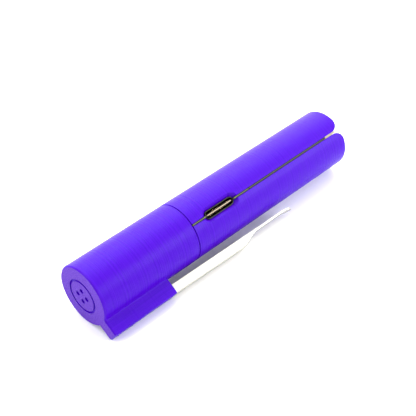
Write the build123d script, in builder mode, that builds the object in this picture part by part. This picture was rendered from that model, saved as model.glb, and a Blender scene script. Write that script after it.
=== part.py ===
from build123d import *
import os
from math import cos, radians, sin, sqrt

# A capped fabric marking pen with a charging port in its side and a light in its tail.
# Millimetres. The pen lies along +X as it lies on a table, with +Z up. The origin is the
# centre of the cap's flat end. The barrel is two half-shells that clamp a circuit board, so
# the board's edge shows in the slot between them. Directions across the pen are SLOT, out
# through that slot, SIDE, square to the board, and RIB, out through the cap's rib.

# --- Overall ---
PEN_RADIUS = 7.5
CAP_LENGTH = 28.2
BARREL_LENGTH = 51.9
JOINT_GAP = 0.15
SLOT_TURN = 42.0
RIB_TURN = 122.1

# --- Clearances ---
RUNNING_GAP = 0.05
FIXED_GAP = 0.05
BOARD_GAP = 0.05

# --- Cap ---
CAP_WALL = 1.6
CAP_END_WALL = 2.2
CAP_END_CHAMFER = 0.3
SEAM_CHAMFER = 0.12
RIB_LENGTH = 18.1
RIB_HEIGHT = 3.75
RIB_WIDTH = 3.7
RIB_LOWER_ROOT = 1.3
RIB_UPPER_ROOT = 0.5
RIB_EDGE_CHAMFER = 0.3
MARK_RADIUS = 4.3
MARK_LINE = 0.55
MARK_DEPTH = 0.35
MARK_DOT_RADIUS = 0.6
MARK_DOT_CIRCLE = 1.5
MARK_DOTS = 4
MARK_TURN = 45.0
LINER_WALL = 0.85
LINER_BASE = 1.0
LINER_RIM_GAP = 0.1
LINER_STEP = 0.7

# --- Pocket clip ---
CLIP_GAP = 1.55
CLIP_DEPTH = 2.2
CLIP_WIDTH = 3.0
CLIP_SHEET = 0.5
CLIP_CHANNEL_LENGTH = 21.3
CLIP_SHOULDER_LENGTH = 6.4
CLIP_NECK_LENGTH = 8.0
CLIP_TIP_LENGTH = 3.6
CLIP_RISE = 0.4
CLIP_NECK_DEPTH = 0.75
CLIP_TIP_FLARE = 0.6
CLIP_ROOT_GAP = 0.15
TANG_LENGTH = 8.2
TANG_WIDTH = 2.4
TANG_HEIGHT = 1.1

# --- Collar, nose and ink ---
COLLAR_REACH = 12.45
COLLAR_NECK_LENGTH = 1.15
COLLAR_FLANGE_LENGTH = 1.1
COLLAR_NECK_WALL = 1.35
GRIP_RING_SECTION = 0.5
GRIP_RING_PLACE = 5.5
GRIP_RING_SQUEEZE = 0.01
KEY_LENGTH = 4.0
KEY_WIDTH = 1.0
KEY_HEIGHT = 0.35
KEY_SETBACK = 0.3
NOSE_LENGTH = 8.9
NOSE_TIP_RADIUS = 1.35
NOSE_LINER_GAP = 0.45
NOSE_SPIGOT_LENGTH = 4.2
NOSE_SPIGOT_WALL = 0.75
NIB_RADIUS = 0.8
NIB_REACH = 2.6
NIB_TIP_LENGTH = 1.1
NIB_TIP_RADIUS = 0.35
NIB_ENTRY = 6.0
INK_RADIUS = 3.3
INK_FRONT_WALL = 0.7
PLUG_LENGTH = 1.2

# --- Barrel shells ---
BARREL_WALL = 1.6
BOARD_SLOT_GAP = 0.1
MOUTH_RADIUS = 2.6
SCREW_FROM_JOINT = 5.3
SCREW_FROM_TAIL = 8.9
SCREW_INSET = 1.4
SCREW_RADIUS = 0.8
SCREW_LENGTH = 6.0
SCREW_HEAD_RADIUS = 1.45
SCREW_HEAD_HEIGHT = 0.9
SCREW_HEAD_GAP = 0.15
SCREW_SINK = 0.15
SCREW_END_GAP = 0.2
SCREW_CROSS_WIDTH = 0.35
SCREW_CROSS_DEPTH = 0.45
HEAD_BOSS_WALL = 0.7
PILOT_BOSS_RADIUS = 1.5

# --- Circuit board ---
BOARD_THICKNESS = 0.4
BOARD_FRONT_GAP = 0.15
BOARD_STEP_PLACE = 18.65
BOARD_FRONT_INSET = 0.2
BOARD_REAR_INSET = 0.4
BOARD_NICK_WIDTH = 0.4
BOARD_NICK_DEPTH = 0.6
BOARD_REAR_GAP = 0.2

# --- Charging port ---
PORT_PLACE = 9.0
PORT_WIDTH = 8.94
PORT_HEIGHT = 2.0
PORT_SHEET = 0.3
PORT_DEPTH = 7.3
PORT_RECESS = 0.65
PORT_BEVEL_DEPTH = 1.05
PORT_BEVEL_ANGLE = 45.0
PORT_EAR_LENGTH = 0.8
PORT_EAR_WIDTH = 1.0
PORT_EAR_SHEET = 0.2
TONGUE_WIDTH = 7.8
TONGUE_THICKNESS = 0.66
TONGUE_RECESS = 0.1
TONGUE_BASE = 1.4
CONTACT_COUNT = 12
CONTACT_PITCH = 0.5
CONTACT_WIDTH = 0.25
CONTACT_LENGTH = 3.6
CONTACT_HEIGHT = 0.05

# --- Tail lens and light ---
LENS_LENGTH = 3.8
LENS_RECESS = 1.6
LENS_FLANGE_LENGTH = 1.3
LENS_FLANGE_HEIGHT = 0.7
LENS_FIN_GAP = 0.05
LENS_FIN_INSET = 0.25
LIGHT_LENGTH = 1.3
LIGHT_WIDTH = 3.0
LIGHT_HEIGHT = 1.5
LIGHT_GAP = 0.3

# --- Cell ---
CELL_FROM_PORT = 1.8
CELL_FROM_TAIL = 4.5
CELL_THICKNESS = 3.4
CELL_EDGE = 0.9
CELL_CLEARANCE = 0.2
PAD_THICKNESS = 0.4
TAB_WIDTH = 1.8
TAB_SHEET = 0.1
TAB_REACH = 1.2
TAB_SPREAD = 3.4

# --- Parts on the board ---
CHIP_GAP = 0.01
CHARGER_SIZE = (3.0, 3.0, 0.9)
CHARGER_OUT = 2.6
DRIVER_SIZE = (4.9, 3.9, 1.5)
DRIVER_OUT = 2.2
DRIVER_STAND = 0.15
DRIVER_LEG_SIZE = (0.4, 5.5, 0.2)
DRIVER_LEG_COUNT = 4
DRIVER_LEG_PITCH = 1.27
COIL_RADIUS = 1.9
COIL_HEIGHT = 1.6
COIL_FROM_SCREW = 4.5
COIL_OUT = 2.0
SMALL_SIZE = (1.0, 0.55, 0.5)
SMALL_INNER_ROW = -1.6
SMALL_FROM_WALL = 0.55
SMALL_PITCH = 2.4
SMALL_ROW = 4

# --- Button and switch ---
BUTTON_OUT = -2.4
BUTTON_RADIUS = 1.75
BUTTON_GAP = 0.15
BUTTON_TRAVEL = 0.25
BUTTON_INSET = 0.15
BUTTON_FLANGE = 0.5
BUTTON_FLANGE_LIP = 0.5
SWITCH_SIZE = 4.2
SWITCH_HEIGHT = 1.6
SWITCH_WELL = 0.5
ACTUATOR_RADIUS = 1.0
ACTUATOR_RISE = 0.5

# --- Worked out from the sizes above ---
SLOT = Vector(0, -sin(radians(SLOT_TURN)), cos(radians(SLOT_TURN)))
SIDE = Vector(0, cos(radians(SLOT_TURN)), sin(radians(SLOT_TURN)))
RIB = Vector(0, -sin(radians(RIB_TURN)), cos(radians(RIB_TURN)))
ALONG = Vector(1, 0, 0)
BACK, FRONT = 1, -1

CAP_BORE = PEN_RADIUS - CAP_WALL
BARREL_BORE = PEN_RADIUS - BARREL_WALL
BARREL_START = CAP_LENGTH + JOINT_GAP
BARREL_END = BARREL_START + BARREL_LENGTH
RIB_RADIUS = PEN_RADIUS + RIB_HEIGHT

COLLAR_RADIUS = CAP_BORE - RUNNING_GAP
COLLAR_START = BARREL_START - COLLAR_REACH
NECK_RADIUS = INK_RADIUS + FIXED_GAP + COLLAR_NECK_WALL
NECK_END = BARREL_START + COLLAR_NECK_LENGTH
COLLAR_END = NECK_END + COLLAR_FLANGE_LENGTH
INK_BORE = INK_RADIUS + FIXED_GAP
NOSE_TIP = COLLAR_START - NOSE_LENGTH
SPIGOT_RADIUS = INK_BORE + NOSE_SPIGOT_WALL
SPIGOT_END = COLLAR_START + NOSE_SPIGOT_LENGTH
INK_START = COLLAR_START + INK_FRONT_WALL + FIXED_GAP
INK_END = COLLAR_END - PLUG_LENGTH - FIXED_GAP
NIB_TIP = NOSE_TIP - NIB_REACH
NIB_END = INK_START + NIB_ENTRY

LINER_END = COLLAR_START - LINER_RIM_GAP
LINER_START = CAP_END_WALL + FIXED_GAP
LINER_RADIUS = CAP_BORE - LINER_STEP
LINER_BORE = LINER_RADIUS - LINER_WALL
NOSE_BASE_RADIUS = LINER_BORE - NOSE_LINER_GAP

CLIP_START = RIB_LENGTH + CLIP_ROOT_GAP
CLIP_INNER = PEN_RADIUS + CLIP_GAP
CLIP_OUTER = CLIP_INNER + CLIP_DEPTH
TANG_RADIUS = CLIP_INNER + TANG_HEIGHT

BOARD_START = BARREL_START + BOARD_FRONT_GAP
SLOT_WIDTH = BOARD_THICKNESS + 2 * BOARD_SLOT_GAP
BOARD_SEAT = BOARD_THICKNESS / 2
SCREW_ROW = -(BARREL_BORE - SCREW_INSET)
SCREW_RIM = sqrt(PEN_RADIUS**2 - (SCREW_HEAD_RADIUS - SCREW_ROW) ** 2)
SCREW_SEAT = SCREW_RIM - SCREW_SINK - SCREW_HEAD_HEIGHT
PILOT_DEPTH = SCREW_LENGTH - SCREW_SEAT + SCREW_END_GAP
HEAD_BOSS_RADIUS = SCREW_HEAD_RADIUS + SCREW_HEAD_GAP + HEAD_BOSS_WALL
LENS_END = BARREL_END - LENS_RECESS
LENS_START = LENS_END - LENS_LENGTH
LENS_RADIUS = BARREL_BORE - FIXED_GAP
BOARD_END = LENS_START - BOARD_REAR_GAP

PORT_CENTRE = BARREL_START + PORT_PLACE
PORT_END = PORT_CENTRE + PORT_WIDTH / 2
PORT_MOUTH = PEN_RADIUS - PORT_RECESS
PORT_BACK = PORT_MOUTH - PORT_DEPTH
TONGUE_END = PORT_MOUTH - TONGUE_RECESS

FIRST_SCREW = BARREL_START + SCREW_FROM_JOINT
LAST_SCREW = BARREL_END - SCREW_FROM_TAIL
MIDDLE_SCREW = (FIRST_SCREW + LAST_SCREW) / 2
SCREW_PLACES = (FIRST_SCREW, MIDDLE_SCREW, LAST_SCREW)
BUTTON_X = (MIDDLE_SCREW + LAST_SCREW) / 2
CELL_START = PORT_END + CELL_FROM_PORT
CELL_LENGTH = BOARD_END - CELL_FROM_TAIL - CELL_START

os.makedirs("parts", exist_ok=True)


def across(x):
    """Plane square to the pen at x, with its own x out to SIDE and its y out to SLOT."""
    return Plane(origin=(x, 0, 0), x_dir=SIDE, z_dir=ALONG)


def across_rib(x):
    """Plane square to the pen at x, with its own x out to RIB."""
    return Plane(origin=(x, 0, 0), x_dir=RIB, z_dir=ALONG)


def facing_slot(height):
    """Plane that faces out of the slot, this far from the axis, with its x along the pen."""
    return Plane(origin=SLOT * height, x_dir=ALONG, z_dir=SLOT)


def on_board(x, out, side, height):
    """Plane square to SIDE at a place on the board, this far from its middle plane."""
    return Plane(origin=ALONG * x + SLOT * out + SIDE * (side * height), x_dir=ALONG, z_dir=SIDE * side)


PROFILE = Plane(origin=(0, 0, 0), x_dir=ALONG, z_dir=SIDE * -1)
RIB_PROFILE = Plane(origin=(0, 0, 0), x_dir=ALONG, z_dir=ALONG.cross(RIB))


def save(builder, name):
    """Label a finished sub-part and write it as one STEP file."""
    builder.part.label = name
    export_step(builder.part, f"parts/{name}.step")


# ---------------------------------------------------------------- cap

# Round cap with its lengthwise rib. The rib's root is soft below and tighter above.
with BuildPart() as cap_shell:
    with BuildSketch(across_rib(0)):
        Circle(PEN_RADIUS)
        with Locations((RIB_RADIUS / 2, 0)):
            Rectangle(RIB_RADIUS, RIB_WIDTH)
        upper_root, lower_root = vertices().group_by(Axis.X)[0].sort_by(Axis.Y)
        fillet(upper_root, radius=RIB_UPPER_ROOT)
        fillet(lower_root, radius=RIB_LOWER_ROOT)
        chamfer(vertices().group_by(Axis.X)[-1], length=RIB_EDGE_CHAMFER)
    extrude(amount=RIB_LENGTH)
    with BuildSketch(across_rib(0)):
        Circle(PEN_RADIUS)
    extrude(amount=CAP_LENGTH)
    chamfer(faces().sort_by(Axis.X)[0].edges(), length=CAP_END_CHAMFER)
    chamfer(faces().sort_by(Axis.X)[-1].edges(), length=SEAM_CHAMFER)
    # Bores for the pen's collar and, deeper in, for the liner.
    with BuildSketch(across(CAP_END_WALL)):
        Circle(LINER_RADIUS + FIXED_GAP)
    extrude(amount=CAP_LENGTH, mode=Mode.SUBTRACT)
    with BuildSketch(across(COLLAR_START - LINER_STEP)):
        Circle(CAP_BORE)
    extrude(amount=CAP_LENGTH, mode=Mode.SUBTRACT)
    # Keyway for the collar's key, open at the rim.
    with BuildSketch(across(CAP_LENGTH - KEY_LENGTH - KEY_SETBACK - JOINT_GAP)):
        with Locations((0, -(CAP_BORE + KEY_HEIGHT) / 2)):
            Rectangle(KEY_WIDTH + 4 * RUNNING_GAP, CAP_BORE + KEY_HEIGHT + 2 * RUNNING_GAP)
        Circle(COLLAR_RADIUS - KEY_HEIGHT, mode=Mode.SUBTRACT)
    extrude(amount=CAP_LENGTH, mode=Mode.SUBTRACT)
    # Pocket for the clip's tang.
    with BuildSketch(across_rib(RIB_LENGTH)):
        with Locations((TANG_RADIUS, 0)):
            Rectangle(CLIP_SHEET + 2 * FIXED_GAP, TANG_WIDTH + 2 * FIXED_GAP)
    extrude(amount=-TANG_LENGTH - FIXED_GAP, mode=Mode.SUBTRACT)
    # Engraved ring with four dots, like a sewing button.
    with BuildSketch(across(0)):
        Circle(MARK_RADIUS)
        Circle(MARK_RADIUS - MARK_LINE, mode=Mode.SUBTRACT)
        with PolarLocations(MARK_DOT_CIRCLE, MARK_DOTS, start_angle=MARK_TURN):
            Circle(MARK_DOT_RADIUS)
    extrude(amount=MARK_DEPTH, mode=Mode.SUBTRACT)
save(cap_shell, "cap_shell")

# Soft cup that closes over the nose so that the nib stays wet.
with BuildPart() as cap_liner:
    with BuildSketch(across(LINER_START)):
        Circle(LINER_RADIUS)
    extrude(amount=LINER_END - LINER_START)
    with BuildSketch(across(LINER_START + LINER_BASE)):
        Circle(LINER_BORE)
    extrude(amount=LINER_END, mode=Mode.SUBTRACT)
save(cap_liner, "cap_liner")

# ---------------------------------------------------------------- pocket clip

# Flat tang that sits in the rib's pocket.
with BuildPart() as clip_tang:
    with BuildSketch(across_rib(RIB_LENGTH)):
        with Locations((TANG_RADIUS, 0)):
            Rectangle(CLIP_SHEET, TANG_WIDTH)
    extrude(amount=-TANG_LENGTH)
save(clip_tang, "clip_tang")

# Sprung arm, a folded channel that steps down to a narrow neck and a flared tip.
CHANNEL_END = CLIP_START + CLIP_CHANNEL_LENGTH
SHOULDER_END = CHANNEL_END + CLIP_SHOULDER_LENGTH
NECK_TIP = SHOULDER_END + CLIP_NECK_LENGTH
CLIP_END = NECK_TIP + CLIP_TIP_LENGTH
NECK_INNER = CLIP_INNER + CLIP_RISE
NECK_OUTER = NECK_INNER + CLIP_NECK_DEPTH


def clip_back_line(inset):
    """Draw the arm's back from the root to the neck, this far under its outer face."""
    start = (CLIP_START, CLIP_OUTER - inset)
    channel = (CHANNEL_END, CLIP_OUTER + CLIP_RISE - inset)
    neck = (SHOULDER_END, NECK_OUTER - inset)
    Line(start, channel)
    Spline(channel, neck, tangents=((1, 0), (1, 0)))
    Line(neck, (NECK_TIP, NECK_OUTER - inset))


with BuildPart() as clip_arm:
    with BuildSketch(RIB_PROFILE):
        with BuildLine():
            clip_back_line(0)
            Line((NECK_TIP, NECK_OUTER), (NECK_TIP, NECK_INNER))
            Line((NECK_TIP, NECK_INNER), (SHOULDER_END, NECK_INNER))
            Line((SHOULDER_END, NECK_INNER), (CLIP_START, CLIP_INNER))
            Line((CLIP_START, CLIP_INNER), (CLIP_START, CLIP_OUTER))
        make_face()
    extrude(amount=CLIP_WIDTH / 2, both=True)
    with BuildSketch(RIB_PROFILE):
        with BuildLine():
            clip_back_line(CLIP_SHEET)
            Line((NECK_TIP, NECK_OUTER - CLIP_SHEET), (NECK_TIP, 0))
            Line((NECK_TIP, 0), (CLIP_START, 0))
            Line((CLIP_START, 0), (CLIP_START, CLIP_OUTER - CLIP_SHEET))
        make_face()
    extrude(amount=CLIP_WIDTH / 2 - CLIP_SHEET, both=True, mode=Mode.SUBTRACT)
    with BuildSketch(RIB_PROFILE):
        with BuildLine():
            tip_back = Spline(
                (NECK_TIP, NECK_OUTER), (CLIP_END, NECK_OUTER + CLIP_TIP_FLARE), tangents=((1, 0), (2, 1))
            )
            Line(tip_back @ 1, (CLIP_END + CLIP_SHEET / 2, NECK_OUTER + CLIP_TIP_FLARE - CLIP_SHEET))
            Spline(
                (CLIP_END + CLIP_SHEET / 2, NECK_OUTER + CLIP_TIP_FLARE - CLIP_SHEET),
                (NECK_TIP, NECK_OUTER - CLIP_SHEET),
                tangents=((-2, -1), (-1, 0)),
            )
            Line((NECK_TIP, NECK_OUTER - CLIP_SHEET), (NECK_TIP, NECK_OUTER))
        make_face()
    extrude(amount=CLIP_WIDTH / 2, both=True)
save(clip_arm, "clip_arm")

# ---------------------------------------------------------------- collar, nose and ink

# Collar that the cap slides over. Its flange is held behind the barrel's front ring.
with BuildPart() as collar:
    with BuildSketch(across(COLLAR_START)):
        Circle(COLLAR_RADIUS)
    extrude(amount=COLLAR_REACH)
    with BuildSketch(across(BARREL_START)):
        Circle(NECK_RADIUS)
    extrude(amount=COLLAR_NECK_LENGTH)
    with BuildSketch(across(NECK_END)):
        Circle(BARREL_BORE - FIXED_GAP)
    extrude(amount=COLLAR_FLANGE_LENGTH)
    with BuildSketch(across(COLLAR_START)):
        Circle(SPIGOT_RADIUS + FIXED_GAP)
    extrude(amount=NOSE_SPIGOT_LENGTH + FIXED_GAP, mode=Mode.SUBTRACT)
    with BuildSketch(across(COLLAR_START)):
        Circle(INK_BORE)
    extrude(amount=COLLAR_END, mode=Mode.SUBTRACT)
    # Groove for the grip ring.
    with BuildSketch(across(COLLAR_START + GRIP_RING_PLACE - GRIP_RING_SECTION - FIXED_GAP)):
        Circle(PEN_RADIUS)
        Circle(COLLAR_RADIUS + GRIP_RING_SQUEEZE - 2 * GRIP_RING_SECTION, mode=Mode.SUBTRACT)
    extrude(amount=2 * GRIP_RING_SECTION + 2 * FIXED_GAP, mode=Mode.SUBTRACT)
    # Key that stops the cap from turning.
    with BuildSketch(across(BARREL_START - KEY_SETBACK - KEY_LENGTH)):
        with Locations((0, -(COLLAR_RADIUS + KEY_HEIGHT / 2 - RUNNING_GAP))):
            Rectangle(KEY_WIDTH, KEY_HEIGHT + 2 * RUNNING_GAP)
    extrude(amount=KEY_LENGTH)
save(collar, "collar")

# Rubber ring that gives the cap its grip.
with BuildPart() as grip_ring:
    with BuildSketch(PROFILE):
        ring_place = (COLLAR_START + GRIP_RING_PLACE, COLLAR_RADIUS + GRIP_RING_SQUEEZE - GRIP_RING_SECTION)
        with Locations(ring_place):
            Circle(GRIP_RING_SECTION)
    revolve(axis=Axis.X)
save(grip_ring, "grip_ring")

# Tapered nose, with a spigot that seats in the collar and holds the front of the ink filler.
with BuildPart() as nose_cone:
    with BuildSketch(PROFILE):
        with BuildLine():
            Line((NOSE_TIP, 0), (NOSE_TIP, NOSE_TIP_RADIUS))
            Spline(
                (NOSE_TIP, NOSE_TIP_RADIUS),
                (COLLAR_START, NOSE_BASE_RADIUS),
                tangents=((3, 1), (3, 1)),
            )
            Polyline(
                (COLLAR_START, NOSE_BASE_RADIUS),
                (COLLAR_START, SPIGOT_RADIUS),
                (SPIGOT_END, SPIGOT_RADIUS),
                (SPIGOT_END, 0),
                (NOSE_TIP, 0),
            )
        make_face()
    revolve(axis=Axis.X)
    with BuildSketch(across(NOSE_TIP)):
        Circle(NIB_RADIUS + FIXED_GAP)
    extrude(amount=SPIGOT_END, mode=Mode.SUBTRACT)
    with BuildSketch(across(INK_START - FIXED_GAP)):
        Circle(INK_BORE)
    extrude(amount=SPIGOT_END, mode=Mode.SUBTRACT)
save(nose_cone, "nose_cone")

# Fibre nib with a rounded point.
with BuildPart() as nib:
    with BuildSketch(PROFILE):
        with BuildLine():
            RadiusArc((NIB_TIP, 0), (NIB_TIP + NIB_TIP_RADIUS, NIB_TIP_RADIUS), NIB_TIP_RADIUS)
            Polyline(
                (NIB_TIP + NIB_TIP_RADIUS, NIB_TIP_RADIUS),
                (NIB_TIP + NIB_TIP_LENGTH, NIB_RADIUS),
                (NIB_END, NIB_RADIUS),
                (NIB_END, 0),
                (NIB_TIP, 0),
            )
        make_face()
    revolve(axis=Axis.X)
save(nib, "nib")

# Fibre filler that holds the ink, bored at its front for the nib's tail.
with BuildPart() as ink_filler:
    with BuildSketch(across(INK_START)):
        Circle(INK_RADIUS)
    extrude(amount=INK_END - INK_START)
    with BuildSketch(across(INK_START)):
        Circle(NIB_RADIUS + FIXED_GAP)
    extrude(amount=NIB_ENTRY + FIXED_GAP, mode=Mode.SUBTRACT)
save(ink_filler, "ink_filler")

# Stopper that closes the collar behind the filler.
with BuildPart() as ink_stopper:
    with BuildSketch(across(COLLAR_END - PLUG_LENGTH)):
        Circle(INK_RADIUS)
    extrude(amount=PLUG_LENGTH)
save(ink_stopper, "ink_stopper")

# ---------------------------------------------------------------- barrel


def half_shell(side):
    """One barrel half, BACK or FRONT of the board, with its bosses and its half of the port window."""
    with BuildPart() as half:
        with BuildSketch(across(BARREL_START)):
            Circle(PEN_RADIUS)
            Circle(BARREL_BORE, mode=Mode.SUBTRACT)
            with Locations((side * (SLOT_WIDTH / 2 - PEN_RADIUS), 0)):
                Rectangle(2 * PEN_RADIUS, 2 * PEN_RADIUS, mode=Mode.SUBTRACT)
        extrude(amount=BARREL_LENGTH)
        fillet(faces().sort_by(Axis.X)[-1].edges().filter_by(GeomType.LINE), radius=MOUTH_RADIUS)
        # Ring that holds the collar's flange.
        with BuildSketch(across(BARREL_START)):
            Circle(PEN_RADIUS)
            Circle(NECK_RADIUS + FIXED_GAP, mode=Mode.SUBTRACT)
            with Locations((side * (SLOT_WIDTH / 2 - PEN_RADIUS), 0)):
                Rectangle(2 * PEN_RADIUS, 2 * PEN_RADIUS, mode=Mode.SUBTRACT)
        extrude(amount=COLLAR_NECK_LENGTH - FIXED_GAP)
        # Screw bosses that reach to the board, trimmed to the barrel's outside.
        boss_radius = HEAD_BOSS_RADIUS if side == BACK else PILOT_BOSS_RADIUS
        for place in SCREW_PLACES:
            with BuildSketch(on_board(place, SCREW_ROW, side, BOARD_SEAT + BOARD_GAP)):
                Circle(boss_radius)
            extrude(amount=PEN_RADIUS)
        with BuildSketch(across(BARREL_START)):
            Circle(PEN_RADIUS)
        extrude(amount=BARREL_LENGTH, mode=Mode.INTERSECT)
        # Soft edge at the joint with the cap.
        with BuildSketch(PROFILE):
            with BuildLine():
                Polyline(
                    (BARREL_START - SEAM_CHAMFER, PEN_RADIUS - 2 * SEAM_CHAMFER),
                    (BARREL_START + SEAM_CHAMFER, PEN_RADIUS),
                    (BARREL_START + SEAM_CHAMFER, PEN_RADIUS + SEAM_CHAMFER),
                    (BARREL_START - SEAM_CHAMFER, PEN_RADIUS + SEAM_CHAMFER),
                    (BARREL_START - SEAM_CHAMFER, PEN_RADIUS - 2 * SEAM_CHAMFER),
                )
            make_face()
        revolve(axis=Axis.X, mode=Mode.SUBTRACT)
        # Holes for the screws: clearance and head room behind, a pilot hole in front.
        for place in SCREW_PLACES:
            with BuildSketch(on_board(place, SCREW_ROW, side, 0)):
                Circle(SCREW_RADIUS + FIXED_GAP)
            extrude(amount=PEN_RADIUS if side == BACK else PILOT_DEPTH, mode=Mode.SUBTRACT)
            if side == BACK:
                with BuildSketch(on_board(place, SCREW_ROW, side, SCREW_SEAT)):
                    Circle(SCREW_HEAD_RADIUS + SCREW_HEAD_GAP)
                extrude(amount=PEN_RADIUS, mode=Mode.SUBTRACT)
        # Groove for the lens flange.
        with BuildSketch(across(LENS_START - FIXED_GAP)):
            Circle(LENS_RADIUS + LENS_FLANGE_HEIGHT + FIXED_GAP)
        extrude(amount=LENS_FLANGE_LENGTH + 2 * FIXED_GAP, mode=Mode.SUBTRACT)
        # Port: a window that fits the receptacle, and the bevel around it.
        with BuildSketch(facing_slot(0)):
            with Locations((PORT_CENTRE, 0)):
                SlotOverall(PORT_WIDTH + 2 * FIXED_GAP, PORT_HEIGHT + 2 * FIXED_GAP)
        extrude(amount=PEN_RADIUS, mode=Mode.SUBTRACT)
        with BuildSketch(facing_slot(PEN_RADIUS - PORT_BEVEL_DEPTH)):
            with Locations((PORT_CENTRE, 0)):
                SlotOverall(PORT_WIDTH + 2 * FIXED_GAP, PORT_HEIGHT + 2 * FIXED_GAP)
        extrude(amount=PORT_BEVEL_DEPTH, taper=-PORT_BEVEL_ANGLE, mode=Mode.SUBTRACT)
        if side == BACK:
            # Round hole for the button.
            with BuildSketch(on_board(BUTTON_X, BUTTON_OUT, BACK, BOARD_SEAT)):
                Circle(BUTTON_RADIUS + BUTTON_GAP)
            extrude(amount=PEN_RADIUS, mode=Mode.SUBTRACT)
    return half


barrel_back = half_shell(BACK)
save(barrel_back, "barrel_back")
barrel_front = half_shell(FRONT)
save(barrel_front, "barrel_front")

# Screws that pull the two halves together through the board.
with BuildPart() as shell_screws:
    for place in SCREW_PLACES:
        with BuildSketch(on_board(place, SCREW_ROW, BACK, SCREW_SEAT)):
            Circle(SCREW_HEAD_RADIUS)
        extrude(amount=SCREW_HEAD_HEIGHT)
        with BuildSketch(on_board(place, SCREW_ROW, BACK, SCREW_SEAT)):
            Circle(SCREW_RADIUS)
        extrude(amount=-SCREW_LENGTH)
        with BuildSketch(on_board(place, SCREW_ROW, BACK, SCREW_SEAT + SCREW_HEAD_HEIGHT)):
            Rectangle(SCREW_HEAD_RADIUS, SCREW_CROSS_WIDTH)
            Rectangle(SCREW_CROSS_WIDTH, SCREW_HEAD_RADIUS)
        extrude(amount=-SCREW_CROSS_DEPTH, mode=Mode.SUBTRACT)
save(shell_screws, "shell_screws")

# Milky lens that closes the tail. Its flange is held in the shells, and its fins fill the slots.
with BuildPart() as tail_lens:
    with BuildSketch(across(LENS_START)):
        Circle(LENS_RADIUS)
        Rectangle(SLOT_WIDTH - 2 * LENS_FIN_GAP, 2 * (PEN_RADIUS - LENS_FIN_INSET))
    extrude(amount=LENS_LENGTH)
    with BuildSketch(across(LENS_START)):
        Circle(LENS_RADIUS + LENS_FLANGE_HEIGHT)
    extrude(amount=LENS_FLANGE_LENGTH)
save(tail_lens, "tail_lens")

# ---------------------------------------------------------------- circuit board

FRONT_EDGE = PEN_RADIUS - BOARD_FRONT_INSET
REAR_EDGE = PEN_RADIUS - BOARD_REAR_INSET
BOARD_STEP = BARREL_START + BOARD_STEP_PLACE

with BuildPart() as circuit_board:
    with BuildSketch(on_board(0, 0, FRONT, -BOARD_SEAT)):
        with Locations(((BOARD_START + BOARD_STEP) / 2, 0)):
            Rectangle(BOARD_STEP - BOARD_START, 2 * FRONT_EDGE)
        with Locations(((BOARD_STEP + BOARD_END) / 2, 0)):
            Rectangle(BOARD_END - BOARD_STEP, 2 * REAR_EDGE)
        # Notch round the collar, cut-out for the receptacle, and a nick where the edge steps in.
        with Locations((COLLAR_END / 2 + BOARD_GAP, 0)):
            Rectangle(COLLAR_END + 4 * BOARD_GAP, 2 * (BARREL_BORE + BOARD_GAP), mode=Mode.SUBTRACT)
        with Locations((PORT_CENTRE, (PORT_BACK - 2 * BOARD_GAP + PEN_RADIUS) / 2)):
            Rectangle(
                PORT_WIDTH + 4 * BOARD_GAP, PEN_RADIUS - PORT_BACK + 2 * BOARD_GAP, mode=Mode.SUBTRACT
            )
        with Locations((BOARD_STEP, FRONT_EDGE)):
            Rectangle(BOARD_NICK_WIDTH, 2 * BOARD_NICK_DEPTH, mode=Mode.SUBTRACT)
        for place in SCREW_PLACES:
            with Locations((place, SCREW_ROW)):
                Circle(SCREW_RADIUS + 2 * FIXED_GAP, mode=Mode.SUBTRACT)
    extrude(amount=BOARD_THICKNESS)
save(circuit_board, "circuit_board")


# ---------------------------------------------------------------- charging port

# Metal shell of the receptacle, closed at its back, with ears that lie on the board.
with BuildPart() as port_shell:
    with BuildSketch(facing_slot(PORT_BACK)):
        with Locations((PORT_CENTRE, 0)):
            SlotOverall(PORT_WIDTH, PORT_HEIGHT)
    extrude(amount=PORT_DEPTH)
    with BuildSketch(facing_slot(PORT_BACK + PORT_SHEET)):
        with Locations((PORT_CENTRE, 0)):
            SlotOverall(PORT_WIDTH - 2 * PORT_SHEET, PORT_HEIGHT - 2 * PORT_SHEET)
    extrude(amount=PORT_DEPTH, mode=Mode.SUBTRACT)
    for end in (-1, 1):
        for out in (PORT_BACK + PORT_DEPTH / 4, PORT_BACK + PORT_DEPTH / 2):
            ear_middle = PORT_CENTRE + end * (PORT_WIDTH / 2 + PORT_EAR_LENGTH / 2 - PORT_HEIGHT / 4)
            with BuildSketch(on_board(ear_middle, out, BACK, BOARD_SEAT + CHIP_GAP)):
                Rectangle(PORT_EAR_LENGTH + PORT_HEIGHT / 4, PORT_EAR_WIDTH)
            extrude(amount=PORT_EAR_SHEET)
    with BuildSketch(facing_slot(PORT_BACK + PORT_SHEET)):
        with Locations((PORT_CENTRE, 0)):
            SlotOverall(PORT_WIDTH - 2 * PORT_SHEET, PORT_HEIGHT - 2 * PORT_SHEET)
    extrude(amount=PORT_DEPTH, mode=Mode.SUBTRACT)
save(port_shell, "port_shell")

# Pale insert with its tongue in the plane of the board.
with BuildPart() as port_insert:
    with BuildSketch(facing_slot(PORT_BACK + PORT_SHEET + CHIP_GAP)):
        with Locations((PORT_CENTRE, 0)):
            SlotOverall(
                PORT_WIDTH - 2 * PORT_SHEET - 2 * CHIP_GAP, PORT_HEIGHT - 2 * PORT_SHEET - 2 * CHIP_GAP
            )
    extrude(amount=TONGUE_BASE)
    with BuildSketch(facing_slot(PORT_BACK + PORT_SHEET)):
        with Locations((PORT_CENTRE, 0)):
            Rectangle(TONGUE_WIDTH, TONGUE_THICKNESS)
    extrude(amount=TONGUE_END - PORT_BACK - PORT_SHEET)
save(port_insert, "port_insert")

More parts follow.
